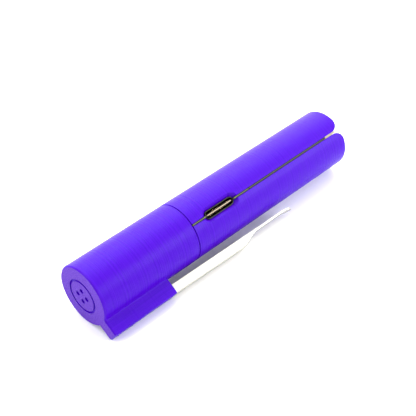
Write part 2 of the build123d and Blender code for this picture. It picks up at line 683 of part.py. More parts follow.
# Contact strips on both faces of the tongue.
with BuildPart() as port_contacts:
    for side in (FRONT, BACK):
        for index in range(CONTACT_COUNT):
            strip_x = PORT_CENTRE + (index - (CONTACT_COUNT - 1) / 2) * CONTACT_PITCH
            strip_out = TONGUE_END - CONTACT_LENGTH / 2 - CONTACT_WIDTH
            with BuildSketch(on_board(strip_x, strip_out, side, TONGUE_THICKNESS / 2)):
                Rectangle(CONTACT_WIDTH, CONTACT_LENGTH)
            extrude(amount=CONTACT_HEIGHT)
save(port_contacts, "port_contacts")

# ---------------------------------------------------------------- parts on the board


def board_part(x, out, size):
    """A plain package on the board's back face, at x and this far out, with its size on three axes."""
    length, width, height = size
    with BuildPart() as package:
        with BuildSketch(on_board(x, out, BACK, BOARD_SEAT + CHIP_GAP)):
            Rectangle(length, width)
        extrude(amount=height)
    return package


EARS_END = PORT_END + PORT_EAR_LENGTH - PORT_HEIGHT / 8
CHARGER_X = (EARS_END + MIDDLE_SCREW - DRIVER_SIZE[0] / 2) / 2
charger_chip = board_part(CHARGER_X, CHARGER_OUT, CHARGER_SIZE)
save(charger_chip, "charger_chip")

# Light driver, standing on its legs beside the middle screw.
with BuildPart() as driver_chip:
    with BuildSketch(on_board(MIDDLE_SCREW, DRIVER_OUT, BACK, BOARD_SEAT + DRIVER_STAND)):
        Rectangle(DRIVER_SIZE[0], DRIVER_SIZE[1])
    extrude(amount=DRIVER_SIZE[2])
    for leg in range(DRIVER_LEG_COUNT):
        leg_x = MIDDLE_SCREW + (leg - (DRIVER_LEG_COUNT - 1) / 2) * DRIVER_LEG_PITCH
        with BuildSketch(on_board(leg_x, DRIVER_OUT, BACK, BOARD_SEAT + CHIP_GAP)):
            Rectangle(DRIVER_LEG_SIZE[0], DRIVER_LEG_SIZE[1])
        extrude(amount=DRIVER_LEG_SIZE[2])
save(driver_chip, "driver_chip")

with BuildPart() as power_coil:
    with BuildSketch(on_board(LAST_SCREW - COIL_FROM_SCREW, COIL_OUT, BACK, BOARD_SEAT + CHIP_GAP)):
        Circle(COIL_RADIUS)
    extrude(amount=COIL_HEIGHT)
save(power_coil, "power_coil")

# Small resistors and capacitors in two rows behind the port.
with BuildPart() as small_parts:
    for out in (SMALL_INNER_ROW, BARREL_BORE - SMALL_FROM_WALL):
        for index in range(SMALL_ROW):
            with BuildSketch(on_board(CHARGER_X + index * SMALL_PITCH, out, BACK, BOARD_SEAT + CHIP_GAP)):
                Rectangle(SMALL_SIZE[0], SMALL_SIZE[1])
            extrude(amount=SMALL_SIZE[2])
save(small_parts, "small_parts")

tail_light = board_part(
    BOARD_END - LIGHT_GAP - LIGHT_LENGTH / 2, 0, (LIGHT_LENGTH, LIGHT_WIDTH, LIGHT_HEIGHT)
)
save(tail_light, "tail_light")

# ---------------------------------------------------------------- cell

CELL_TOP = BOARD_SEAT + BOARD_GAP + PAD_THICKNESS + BOARD_GAP
CELL_BOTTOM = CELL_TOP + CELL_THICKNESS
CELL_REACH = sqrt((BARREL_BORE - CELL_CLEARANCE) ** 2 - (CELL_BOTTOM - CELL_EDGE / 2) ** 2)
CELL_INNER = SCREW_ROW + PILOT_BOSS_RADIUS + CELL_CLEARANCE
CELL_WIDTH = CELL_REACH - CELL_INNER
CELL_MIDDLE = (CELL_REACH + CELL_INNER) / 2

with BuildPart() as battery_cell:
    with BuildSketch(on_board(CELL_START + CELL_LENGTH / 2, CELL_MIDDLE, FRONT, CELL_TOP)):
        Rectangle(CELL_LENGTH, CELL_WIDTH)
    extrude(amount=CELL_THICKNESS)
    fillet(edges().filter_by(Axis.X), radius=CELL_EDGE)
save(battery_cell, "battery_cell")

with BuildPart() as cell_pad:
    with BuildSketch(on_board(CELL_START + CELL_LENGTH / 2, CELL_MIDDLE, FRONT, BOARD_SEAT + BOARD_GAP)):
        Rectangle(CELL_LENGTH - 2 * CELL_EDGE, CELL_WIDTH - 2 * CELL_EDGE)
    extrude(amount=PAD_THICKNESS)
save(cell_pad, "cell_pad")

# Two tabs that run from the cell's end and turn down to the board.
with BuildPart() as cell_tabs:
    for out in (CELL_MIDDLE - TAB_SPREAD / 2, CELL_MIDDLE + TAB_SPREAD / 2):
        tab_level = CELL_TOP + CELL_THICKNESS / 2
        with BuildSketch(on_board(CELL_START - TAB_REACH / 2, out, FRONT, tab_level)):
            Rectangle(TAB_REACH, TAB_WIDTH)
        extrude(amount=TAB_SHEET)
        tab_middle = CELL_START - TAB_REACH + TAB_SHEET / 2
        with BuildSketch(on_board(tab_middle, out, FRONT, BOARD_SEAT + CHIP_GAP)):
            Rectangle(TAB_SHEET, TAB_WIDTH)
        extrude(amount=tab_level - BOARD_SEAT)
save(cell_tabs, "cell_tabs")

# ---------------------------------------------------------------- button and switch

SWITCH_TOP = BOARD_SEAT + SWITCH_HEIGHT
BUTTON_BASE = SWITCH_TOP + ACTUATOR_RISE

with BuildPart() as switch_body:
    with BuildSketch(on_board(BUTTON_X, BUTTON_OUT, BACK, BOARD_SEAT + CHIP_GAP)):
        Rectangle(SWITCH_SIZE, SWITCH_SIZE)
    extrude(amount=SWITCH_HEIGHT - CHIP_GAP)
    with BuildSketch(on_board(BUTTON_X, BUTTON_OUT, BACK, SWITCH_TOP)):
        Circle(ACTUATOR_RADIUS + BUTTON_GAP)
    extrude(amount=-SWITCH_WELL, mode=Mode.SUBTRACT)
save(switch_body, "switch_body")

with BuildPart() as switch_actuator:
    actuator_seat = SWITCH_TOP - SWITCH_WELL + 2 * BUTTON_TRAVEL - BUTTON_GAP
    with BuildSketch(on_board(BUTTON_X, BUTTON_OUT, BACK, actuator_seat)):
        Circle(ACTUATOR_RADIUS)
    extrude(amount=BUTTON_BASE - SWITCH_TOP + SWITCH_WELL - 2 * BUTTON_TRAVEL + BUTTON_GAP)
save(switch_actuator, "switch_actuator")

# Round button whose top follows the barrel, with a flange that keeps it in.
with BuildPart() as power_button:
    with BuildSketch(on_board(BUTTON_X, BUTTON_OUT, BACK, BUTTON_BASE)):
        Circle(BUTTON_RADIUS)
    extrude(amount=PEN_RADIUS)
    with BuildSketch(across(BARREL_START)):
        Circle(PEN_RADIUS - BUTTON_INSET)
    extrude(amount=BARREL_LENGTH, mode=Mode.INTERSECT)
    with BuildSketch(on_board(BUTTON_X, BUTTON_OUT, BACK, BUTTON_BASE)):
        Circle(BUTTON_RADIUS + BUTTON_FLANGE_LIP)
    extrude(amount=BUTTON_FLANGE)
save(power_button, "power_button")
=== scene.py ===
"""Visual model of a fabric marking pen with a printed housing, a side port and a lighted tail.

Metres throughout. The pen lies along +X with +Z up. Directions across the pen are SLOT, out
through the open slot, SIDE, square to the circuit board, and RIB, out through the cap's rib.
"""

import logging
import math
from collections.abc import Callable, Sequence
from dataclasses import dataclass, field
from enum import Enum

import bpy
import numpy as np
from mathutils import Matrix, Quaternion, Vector


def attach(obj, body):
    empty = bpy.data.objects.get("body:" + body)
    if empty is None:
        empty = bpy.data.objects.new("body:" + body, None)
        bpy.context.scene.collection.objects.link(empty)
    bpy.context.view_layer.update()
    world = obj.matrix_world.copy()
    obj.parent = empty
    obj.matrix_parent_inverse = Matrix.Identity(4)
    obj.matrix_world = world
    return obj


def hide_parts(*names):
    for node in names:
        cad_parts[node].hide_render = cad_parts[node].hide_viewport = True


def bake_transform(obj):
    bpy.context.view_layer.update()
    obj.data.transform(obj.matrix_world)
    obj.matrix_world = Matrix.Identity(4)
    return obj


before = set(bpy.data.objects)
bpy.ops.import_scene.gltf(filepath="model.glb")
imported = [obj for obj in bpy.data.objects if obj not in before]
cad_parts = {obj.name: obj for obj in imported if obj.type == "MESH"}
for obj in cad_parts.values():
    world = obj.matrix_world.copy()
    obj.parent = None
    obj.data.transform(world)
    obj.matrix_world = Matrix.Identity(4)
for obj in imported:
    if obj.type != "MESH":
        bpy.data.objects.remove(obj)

LOG = logging.getLogger("marking_pen")
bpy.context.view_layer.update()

MM = 0.001
PEN_RADIUS = 7.5 * MM
TABLE_HEIGHT = -PEN_RADIUS
SMOOTH_ANGLE = math.radians(38.0)
TURN = 2.0 * math.pi
QUARTER = math.pi / 2.0
RING_COUNT = 96
POLE = 0.01 * MM
PLAY = 0.05 * MM

SLOT_TURN = math.radians(42.0)
RIB_TURN = math.radians(122.1)
ALONG = np.array([1.0, 0.0, 0.0])
SLOT = np.array([0.0, -math.sin(SLOT_TURN), math.cos(SLOT_TURN)])
SIDE = np.array([0.0, math.cos(SLOT_TURN), math.sin(SLOT_TURN)])
RIB = np.array([0.0, -math.sin(RIB_TURN), math.cos(RIB_TURN)])

Colour = tuple[float, float, float]
Value = float | Colour | bpy.types.NodeSocket


class Body(Enum):
    """The bodies that move on their own."""

    BARREL = "barrel"
    CAP = "cap"
    CLIP = "clip"
    BUTTON = "button"


class Pattern(Enum):
    """The surface patterns that a finish can have."""

    GRAIN = "grain"
    BRUSHED = "brushed"
    FIBRES = "fibres"
    WOUND = "wound"


# ---------------------------------------------------------------- surfaces


@dataclass(frozen=True)
class Axes:
    """A place and three square directions that local shapes are laid out on."""

    origin: np.ndarray
    across: np.ndarray
    up: np.ndarray
    out: np.ndarray

    def place(self, local: np.ndarray) -> np.ndarray:
        """Turn local points (..., 3) into points of the pen's own frame."""
        return self.origin + local @ np.stack([self.across, self.up, self.out])


def pen_axes(x: float = 0.0) -> Axes:
    """Return axes with their third direction along the pen, from x."""
    return Axes(ALONG * x, SIDE, SLOT, ALONG)


def board_axes(x: float, out: float, side: float, height: float) -> Axes:
    """Return axes that stand on the board.

    Args:
        x: Place along the pen.
        out: Distance from the pen's axis towards the slot.
        side: 1 for the back of the board, -1 for its front.
        height: Distance from the board's middle plane.

    Returns:
        Axes with their third direction square to the board, away from it.
    """
    return Axes(ALONG * x + SLOT * out + SIDE * (side * height), ALONG * side, SLOT * -1.0, SIDE * side)


@dataclass
class Skin:
    """Points and faces of one or more closed surfaces."""

    points: np.ndarray
    faces: list[list[int]]

    @staticmethod
    def joined(skins: Sequence["Skin"]) -> "Skin":
        """Return one skin that holds all the given ones, side by side."""
        starts = np.cumsum([0] + [len(skin.points) for skin in skins[:-1]])
        pairs = zip(skins, starts)
        faces = [[corner + int(start) for corner in face] for skin, start in pairs for face in skin.faces]
        return Skin(np.concatenate([skin.points for skin in skins]), faces)


def grid_skin(points: np.ndarray, closed_rows: bool = False) -> Skin:
    """Join a grid of rings into one surface.

    Row i holds ring i. Neighbouring rings are joined by quads, column j to column j + 1 with the
    last column joined to the first, and each end ring is closed by one face or joined to the other.

    Args:
        points: Ring points, shaped (rings, points in a ring, 3), turning right-handed about the
            direction in which the rings advance.
        closed_rows: True to join the last ring to the first, as on a torus.

    Returns:
        The surface, with its faces pointing outwards.
    """
    rings, count = points.shape[:2]
    row = np.arange(rings if closed_rows else rings - 1)[:, None]
    column = np.arange(count)[None, :]
    after = (row + 1) % rings
    beside = (column + 1) % count
    corners = [row * count + column, row * count + beside, after * count + beside, after * count + column]
    faces = np.stack(corners, axis=-1).reshape(-1, 4).tolist()
    if not closed_rows:
        faces.append(list(range(count - 1, -1, -1)))
        faces.append(list(range((rings - 1) * count, rings * count)))
    return Skin(points.reshape(-1, 3), faces)


def ring_points(reach: np.ndarray, turn: np.ndarray, height: np.ndarray) -> np.ndarray:
    """Return local points this far from the third direction, at this turn round it and this height."""
    across, up = reach * np.cos(turn), reach * np.sin(turn)
    return np.stack([across, up, np.broadcast_to(height, across.shape)], axis=-1)


def turned(
    profile: Sequence[tuple[float, float]], axes: Axes, count: int = RING_COUNT, closed_rows: bool = False
) -> Skin:
    """Turn a profile once round the axes' third direction.

    Formula: a profile point (a, r) gives the ring (r cos t, r sin t, a) for t round a full turn.

    Args:
        profile: Places along the axis and radii, from one end to the other.
        axes: Where the turned shape stands.
        count: Points in each ring.
        closed_rows: True for a profile that closes on itself.

    Returns:
        The closed turned surface.
    """
    line = np.asarray(profile, dtype=float)
    turn = np.linspace(0.0, TURN, count, endpoint=False)
    return grid_skin(axes.place(ring_points(line[:, 1, None], turn[None], line[:, 0, None])), closed_rows)


def rounded_outline(width: float, depth: float, corner: float, steps: int = 6) -> np.ndarray:
    """Return a rectangle's outline with round corners, right-handed from the first corner.

    Formula: each corner is a quarter circle of the corner radius about a point set in by that
    radius from both edges.
    """
    arc = np.linspace(0.0, QUARTER, steps + 1)
    signs = np.array([[1, 1], [-1, 1], [-1, -1], [1, -1]], dtype=float)
    centres = signs * [width / 2.0 - corner, depth / 2.0 - corner]
    turns = np.arange(4)[:, None] * QUARTER + arc[None]
    return (centres[:, None] + corner * np.stack([np.cos(turns), np.sin(turns)], axis=-1)).reshape(-1, 2)


def stacked(
    rings: Sequence[tuple[float, float]], width: float, depth: float, corner: float, axes: Axes
) -> Skin:
    """Stack rounded outlines into a closed block or a cup.

    Formula: each ring is the outline drawn in by its inset, at its height.

    Args:
        rings: The inset and the height of each ring, in order.
        width: Full size along the axes' first direction.
        depth: Full size along the axes' second direction.
        corner: Radius of the outline's corners.
        axes: Where the block stands.

    Returns:
        The closed surface.
    """
    layers = []
    for inset, height in rings:
        radius = max(corner - inset, 0.02 * MM)
        outline = rounded_outline(width - 2 * inset, depth - 2 * inset, radius)
        layers.append(np.column_stack([outline, np.full(len(outline), height)]))
    return grid_skin(axes.place(np.stack(layers)))


def soft_rings(height: float, edge: float, base: float = 0.0, steps: int = 3) -> list[tuple[float, float]]:
    """Return the rings of a block with quarter-round edges at its top and foot."""
    arc = np.linspace(0.0, QUARTER, steps + 1)
    foot = [(edge * (1 - math.sin(a)), base + edge * (1 - math.cos(a))) for a in arc]
    top = [(edge * (1 - math.cos(a)), base + height - edge * (1 - math.sin(a))) for a in arc]
    return foot + top


def block(width: float, depth: float, height: float, axes: Axes, edge: float, corner: float) -> Skin:
    """Return a moulded block with soft edges that stands on the axes."""
    return stacked(soft_rings(height, edge), width, depth, max(corner, edge * 1.01), axes)


def make_piece(name: str, skin: Skin, material: bpy.types.Material) -> bpy.types.Object:
    """Put a skin into a mesh object.

    Args:
        name: Name of the piece.
        skin: Its surface in the pen's frame.
        material: Its finish.

    Returns:
        The new object, at the origin and unturned.
    """
    mesh = bpy.data.meshes.new(name)
    mesh.from_pydata(skin.points.tolist(), [], skin.faces)
    mesh.validate()
    mesh.shade_smooth()
    mesh.set_sharp_from_angle(angle=SMOOTH_ANGLE)
    mesh.materials.append(material)
    piece = bpy.data.objects.new(name, mesh)
    bpy.context.scene.collection.objects.link(piece)
    return piece


def fit_piece(
    name: str, skin: Skin, material: bpy.types.Material, body: Body, nodes: Sequence[str]
) -> bpy.types.Object:
    """Make a piece that stands for CAD nodes and rides on one body.

    Args:
        name: Name of the piece.
        skin: Its surface.
        material: Its finish.
        body: The body that it moves with.
        nodes: The CAD nodes that it stands for.

    Returns:
        The new object.
    """
    piece = make_piece(name, skin, material)
    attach(piece, body.value)
    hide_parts(*nodes)
    LOG.info("%s stands for %s: %d points", name, ", ".join(nodes), len(skin.points))
    return piece


# ---------------------------------------------------------------- shader wiring


@dataclass
class Wiring:
    """Adds and joins nodes in one tree."""

    tree: bpy.types.NodeTree

    def feed(self, socket: bpy.types.NodeSocket, value: Value) -> None:
        """Link a socket to another one, or set its own value."""
        if isinstance(value, bpy.types.NodeSocket):
            self.tree.links.new(value, socket)
        elif isinstance(value, tuple) and len(socket.default_value) == len(value) + 1:
            socket.default_value = (*value, 1.0)
        else:
            socket.default_value = value

    def add(self, kind: str, inputs: dict[str, Value], **settings: object) -> bpy.types.Node:
        """Add a node.

        Args:
            kind: Blender's name of the node's type.
            inputs: Values or sockets for its named inputs.
            settings: Its own options.

        Returns:
            The new node.
        """
        node = self.tree.nodes.new(kind)
        for key, value in settings.items():
            setattr(node, key, value)
        for key, value in inputs.items():
            self.feed(node.inputs[key], value)
        return node

    def math(self, operation: str, first: Value, second: Value = 0.0) -> bpy.types.NodeSocket:
        """Return the result of a Math node."""
        node = self.tree.nodes.new("ShaderNodeMath")
        node.operation = operation
        self.feed(node.inputs[0], first)
        self.feed(node.inputs[1], second)
        return node.outputs[0]

    def blend(self, factor: Value, low: Value, high: Value) -> bpy.types.NodeSocket:
        """Return a colour between two others."""
        node = self.tree.nodes.new("ShaderNodeMix")
        node.data_type = "RGBA"
        for socket, value in ((node.inputs[0], factor), (node.inputs[6], low), (node.inputs[7], high)):
            self.feed(socket, value)
        return node.outputs[2]

    def between(self, value: Value, low: float, high: float) -> bpy.types.NodeSocket:
        """Return a value from 0..1 spread over low..high."""
        return self.math("ADD", self.math("MULTIPLY", value, high - low), low)

    def spread(self, value: Value, low: float, high: float) -> bpy.types.NodeSocket:
        """Return a value whose low..high is spread over 0..1, and held there."""
        inputs = {"Value": value, "From Min": low, "From Max": high}
        return self.add("ShaderNodeMapRange", inputs).outputs["Result"]

    def stretched(self, vector: bpy.types.NodeSocket, scale: Colour) -> bpy.types.NodeSocket:
        """Return coordinates scaled along each axis."""
        node = self.add("ShaderNodeVectorMath", {}, operation="MULTIPLY")
        self.feed(node.inputs[0], vector)
        node.inputs[1].default_value = scale
        return node.outputs[0]

    def noise(self, vector: Value, scale: float, detail: float = 2.0) -> bpy.types.NodeSocket:
        """Return three-dimensional noise from 0 to 1."""
        inputs = {"Vector": vector, "Scale": scale, "Detail": detail}
        return self.add("ShaderNodeTexNoise", inputs).outputs[0]

    def line_noise(self, place: Value, scale: float, detail: float = 1.0) -> bpy.types.NodeSocket:
        """Return noise from 0 to 1 that changes along one direction only."""
        inputs = {"W": place, "Scale": scale, "Detail": detail}
        return self.add("ShaderNodeTexNoise", inputs, noise_dimensions="1D").outputs[0]

    def along(self, vector: bpy.types.NodeSocket, direction: np.ndarray) -> bpy.types.NodeSocket:
        """Return how far coordinates reach along a direction."""
        node = self.add("ShaderNodeVectorMath", {}, operation="DOT_PRODUCT")
        self.feed(node.inputs[0], vector)
        node.inputs[1].default_value = tuple(float(part) for part in direction)
        return node.outputs["Value"]


def effect_group(name: str, inputs: dict[str, float], outputs: Sequence[str]) -> tuple[Wiring, dict, dict]:
    """Start a shader node group that reads a vector and puts out plain values.

    Args:
        name: Name of the group.
        inputs: Its number inputs with their usual values, besides Vector.
        outputs: Names of its value outputs.

    Returns:
        The group's wiring, its input sockets and its output sockets, by name.
    """
    tree = bpy.data.node_groups.new(name, "ShaderNodeTree")
    tree.interface.new_socket("Vector", in_out="INPUT", socket_type="NodeSocketVector")
    for key, usual in inputs.items():
        tree.interface.new_socket(key, in_out="INPUT", socket_type="NodeSocketFloat").default_value = usual
    for key in outputs:
        tree.interface.new_socket(key, in_out="OUTPUT", socket_type="NodeSocketFloat")
    source = tree.nodes.new("NodeGroupInput")
    sink = tree.nodes.new("NodeGroupOutput")
    sources = {key: source.outputs[key] for key in ["Vector", *inputs]}
    return Wiring(tree), sources, {key: sink.inputs[key] for key in outputs}


def worn_group(name: str, scale: float, smudges: float, draw: Colour | None = None) -> bpy.types.NodeTree:
    """Fine noise for height, drawn out along the pen if asked, and broad soft smudges in the tone."""
    wiring, source, sink = effect_group(name, {"Scale": scale}, ["Height", "Tone"])
    drawn = wiring.stretched(source["Vector"], draw) if draw else source["Vector"]
    fine = wiring.add("ShaderNodeTexNoise", {"Vector": drawn, "Scale": source["Scale"], "Detail": 3.0})
    smudge = wiring.noise(source["Vector"], smudges, 3.0)
    wiring.feed(sink["Height"], fine.outputs[0])
    wiring.feed(sink["Tone"], wiring.math("MULTIPLY", wiring.math("ADD", fine.outputs[0], smudge), 0.5))
    return wiring.tree


def fibre_group() -> bpy.types.NodeTree:
    """Bundled fibres: cells across the pen, drawn out along it."""
    wiring, source, sink = effect_group("fibre_bundle", {"Scale": 6000.0}, ["Height", "Tone"])
    drawn = wiring.stretched(source["Vector"], (0.04, 1.0, 1.0))
    cells = wiring.add("ShaderNodeTexVoronoi", {"Vector": drawn, "Scale": source["Scale"]})
    wiring.feed(sink["Height"], wiring.math("SUBTRACT", 1.0, cells.outputs["Distance"]))
    wiring.feed(sink["Tone"], wiring.noise(drawn, 2500.0, 3.0))
    return wiring.tree


def wound_group() -> bpy.types.NodeTree:
    """Fine turns side by side: a rounded ridge every Scale-th of a metre along SIDE."""
    wiring, source, sink = effect_group("wound_turns", {"Scale": 7000.0}, ["Height", "Tone"])
    place = wiring.math("MULTIPLY", wiring.along(source["Vector"], SIDE), source["Scale"])
    wiring.feed(sink["Height"], wiring.math("ABSOLUTE", wiring.math("SINE", place)))
    wiring.feed(sink["Tone"], wiring.noise(source["Vector"], 1800.0, 2.0))
    return wiring.tree


BAND_SCALE = 2200.0
BED_SCALE = 3600.0
STREAK_SCALE = 3800.0
BED_DEPTH = 0.02 * MM
RIDGE_SHARE, STEP_SHARE, BAND_SHARE = 0.35, 0.2, 0.45
RIB_MARGIN = 0.1 * MM


def print_group() -> bpy.types.NodeTree:
    """Printed layers stacked along the pen, with the printing bed's texture on the first one.

    Height: the root of a rectified sine gives each layer its rounded edge, and a random step
    moves each layer in or out a little. Near x = 0 it is the rough print of the bed instead.
    Tone: broad bands round the pen, and faint streaks along it outside the pen's own radius.
    Bed: 1 on the first layer's face, otherwise 0.
    """
    wiring, source, sink = effect_group("printed_layers", {"Pitch": 0.2 * MM}, ["Height", "Tone", "Bed"])
    parts = wiring.add("ShaderNodeSeparateXYZ", {"Vector": source["Vector"]})
    x = parts.outputs[0]
    layer = wiring.math("DIVIDE", x, source["Pitch"])
    wave = wiring.math("SINE", wiring.math("MULTIPLY", layer, math.pi))
    ridge = wiring.math("POWER", wiring.math("ABSOLUTE", wave), 0.5)
    index = wiring.math("FLOOR", layer)
    step = wiring.add("ShaderNodeTexWhiteNoise", {"W": index}, noise_dimensions="1D").outputs["Value"]
    bands = wiring.spread(wiring.line_noise(x, BAND_SCALE, 2.0), 0.3, 0.7)
    edges = wiring.math("MULTIPLY", ridge, RIDGE_SHARE)
    layers = wiring.math("ADD", edges, wiring.math("MULTIPLY", step, STEP_SHARE))
    layers = wiring.math("ADD", layers, wiring.math("MULTIPLY", bands, BAND_SHARE))
    bed = wiring.math("LESS_THAN", x, BED_DEPTH)
    rough = wiring.spread(wiring.noise(source["Vector"], BED_SCALE, 3.0), 0.35, 0.65)
    switch = wiring.math("MULTIPLY", bed, wiring.math("SUBTRACT", rough, layers))
    wiring.feed(sink["Height"], wiring.math("ADD", layers, switch))
    flat = wiring.stretched(source["Vector"], (0.0, 1.0, 1.0))
    reach = wiring.add("ShaderNodeVectorMath", {}, operation="LENGTH")
    wiring.feed(reach.inputs[0], flat)
    outside = wiring.math("GREATER_THAN", reach.outputs["Value"], PEN_RADIUS + RIB_MARGIN)
    drawn = wiring.stretched(source["Vector"], (0.02, 1.0, 1.0))
    faint = wiring.spread(wiring.noise(drawn, STREAK_SCALE, 2.0), 0.35, 0.65)
    streaks = wiring.math("MULTIPLY", faint, outside)
    calm = wiring.math("MULTIPLY", bands, wiring.math("SUBTRACT", 1.0, outside))
    wiring.feed(sink["Tone"], wiring.math("ADD", streaks, calm))
    wiring.feed(sink["Bed"], bed)
    return wiring.tree


class Effects:
    """The shared shader effects, each built once."""

    def __init__(self) -> None:
        """Build every group."""
        self.patterns = {
            Pattern.GRAIN: worn_group("moulded_grain", 4000.0, 260.0),
            Pattern.BRUSHED: worn_group("brushed_metal", 9000.0, 300.0, (0.03, 1.0, 1.0)),
            Pattern.FIBRES: fibre_group(),
            Pattern.WOUND: wound_group(),
        }
        self.layers = print_group()


# ---------------------------------------------------------------- finishes


@dataclass
class Canvas:
    """A new material with its shader, its object coordinates and its wiring."""

    name: str
    material: bpy.types.Material = field(init=False)
    wiring: Wiring = field(init=False)

    def __post_init__(self) -> None:
        """Make the material and find its shader."""
        self.material = bpy.data.materials.new(self.name)
        self.material.use_nodes = True
        self.wiring = Wiring(self.material.node_tree)
        self.shader = self.material.node_tree.nodes["Principled BSDF"]
        self.place = self.wiring.add("ShaderNodeTexCoord", {}).outputs["Object"]

    def group(self, tree: bpy.types.NodeTree, inputs: dict[str, Value]) -> bpy.types.Node:
        """Place a shared effect that reads the object coordinates, with its own values."""
        node = self.wiring.add("ShaderNodeGroup", {}, node_tree=tree)
        self.wiring.feed(node.inputs["Vector"], self.place)
        for key, value in inputs.items():
            self.wiring.feed(node.inputs[key], value)
        return node

    def relief(self, height: Value, depth: float, strength: float = 1.0) -> None:
        """Bump the surface by this height map, this deep."""
        inputs = {"Height": height, "Distance": depth, "Strength": strength}
        self.wiring.feed(self.shader.inputs["Normal"], self.wiring.add("ShaderNodeBump", inputs).outputs[0])

    def constants(self, values: dict[str, Value]) -> None:
        """Set values that are the same all over the surface."""
        for key, value in values.items():
            self.wiring.feed(self.shader.inputs[key], value)


@dataclass(frozen=True)
class Finish:
    """A finish with two tones, a pattern, and a roughness that varies with the pattern."""

    name: str
    light: Colour
    dark: Colour
    rough: tuple[float, float]
    scale: float
    depth_mm: float
    extras: tuple[tuple[str, Value], ...]
    pattern: Pattern = Pattern.GRAIN

    def build(self, effects: Effects) -> bpy.types.Material:
        """Return the finish as a material."""
        canvas = Canvas(self.name)
        wiring = canvas.wiring
        pattern = canvas.group(effects.patterns[self.pattern], {"Scale": self.scale})
        tone = pattern.outputs["Tone"]
        wiring.feed(canvas.shader.inputs["Base Color"], wiring.blend(tone, self.dark, self.light))
        wiring.feed(canvas.shader.inputs["Roughness"], wiring.between(tone, *self.rough))
        canvas.relief(pattern.outputs["Height"], self.depth_mm * MM)
        canvas.constants(dict(self.extras))
        return canvas.material


@dataclass(frozen=True)
class PrintedFinish:
    """Violet printed plastic with layer lines round the pen and a matt first layer."""

    name: str = "printed_violet"
    light: Colour = (0.058, 0.000, 0.44)
    dark: Colour = (0.044, 0.000, 0.385)
    bed_tint: Colour = (0.125, 0.050, 0.43)
    bed_shade: Colour = (0.075, 0.022, 0.33)
    rough: tuple[float, float] = (0.30, 0.46)
    bed_rough: float = 0.7
    pitch: float = 0.2 * MM
    depth: float = 0.03 * MM
    specular: float = 0.09

    def build(self, effects: Effects) -> bpy.types.Material:
        """Return the finish as a material."""
        canvas = Canvas(self.name)
        wiring = canvas.wiring
        layers = canvas.group(effects.layers, {"Pitch": self.pitch})
        tone, bed = layers.outputs["Tone"], layers.outputs["Bed"]
        body = wiring.blend(tone, self.dark, self.light)
        first = wiring.blend(layers.outputs["Height"], self.bed_shade, self.bed_tint)
        wiring.feed(canvas.shader.inputs["Base Color"], wiring.blend(bed, body, first))
        plain = wiring.between(tone, *self.rough)
        switch = wiring.math("MULTIPLY", bed, wiring.math("SUBTRACT", self.bed_rough, plain))
        wiring.feed(canvas.shader.inputs["Roughness"], wiring.math("ADD", plain, switch))
        canvas.relief(layers.outputs["Height"], self.depth)
        canvas.constants({"Specular IOR Level": self.specular})
        return canvas.material


@dataclass(frozen=True)
class LaminateFinish:
    """Circuit board: dark lacquered faces, and cut edges that show the glass layers between dark outer
    bands. The bands are partly the lacquer and partly painted shade of the narrow gap beside the edge.
    """

    name: str = "board_laminate"
    face: Colour = (0.012, 0.03, 0.022)
    face_light: Colour = (0.02, 0.05, 0.035)
    edge: Colour = (0.13, 0.14, 0.075)
    edge_light: Colour = (0.22, 0.22, 0.13)
    core_half: float = 0.10 * MM
    specular: float = 0.12
    layer_scale: float = 9000.0
    depth: float = 0.008 * MM

    def build(self, effects: Effects) -> bpy.types.Material:
        """Return the finish as a material."""
        canvas = Canvas(self.name)
        wiring = canvas.wiring
        grain = canvas.group(effects.patterns[Pattern.GRAIN], {"Scale": 5200.0})
        normal = wiring.add("ShaderNodeNewGeometry", {}).outputs["True Normal"]
        facing = wiring.math("ABSOLUTE", wiring.along(normal, SIDE))
        is_face = wiring.math("GREATER_THAN", facing, 0.5)
        through = wiring.along(canvas.place, SIDE)
        layers = wiring.line_noise(through, self.layer_scale, 1.0)
        # Outside core_half the cut edge takes the dark face colour: partly the lacquer, partly painted shade
        # of the narrow gap beside the edge.
        skin = wiring.math("GREATER_THAN", wiring.math("ABSOLUTE", through), self.core_half)
        edge = wiring.blend(skin, wiring.blend(layers, self.edge, self.edge_light), self.face)
        face = wiring.blend(grain.outputs["Tone"], self.face, self.face_light)
        wiring.feed(canvas.shader.inputs["Base Color"], wiring.blend(is_face, edge, face))
        wiring.feed(canvas.shader.inputs["Roughness"], wiring.between(is_face, 0.7, 0.35))
        canvas.relief(grain.outputs["Height"], self.depth)
        canvas.constants({"Specular IOR Level": self.specular})
        return canvas.material


BOARD_FINISH = LaminateFinish()
# The tongue's front edge has the same dark outer bands round its pale middle: partly its black plastic,
# partly painted shade of the gaps above and below it.
TONGUE_FINISH = LaminateFinish(
    name="port_insert", face=(0.006, 0.006, 0.006), face_light=(0.014, 0.014, 0.014),
    edge=(0.36, 0.28, 0.19), edge_light=(0.50, 0.41, 0.29), core_half=0.13 * MM,
)


def gloss(level: float) -> tuple[tuple[str, Value], ...]:
    """Return the extras of a plain plastic with this specular level."""
    return (("Specular IOR Level", level),)


METAL: tuple[tuple[str, Value], ...] = (("Metallic", 1.0),)

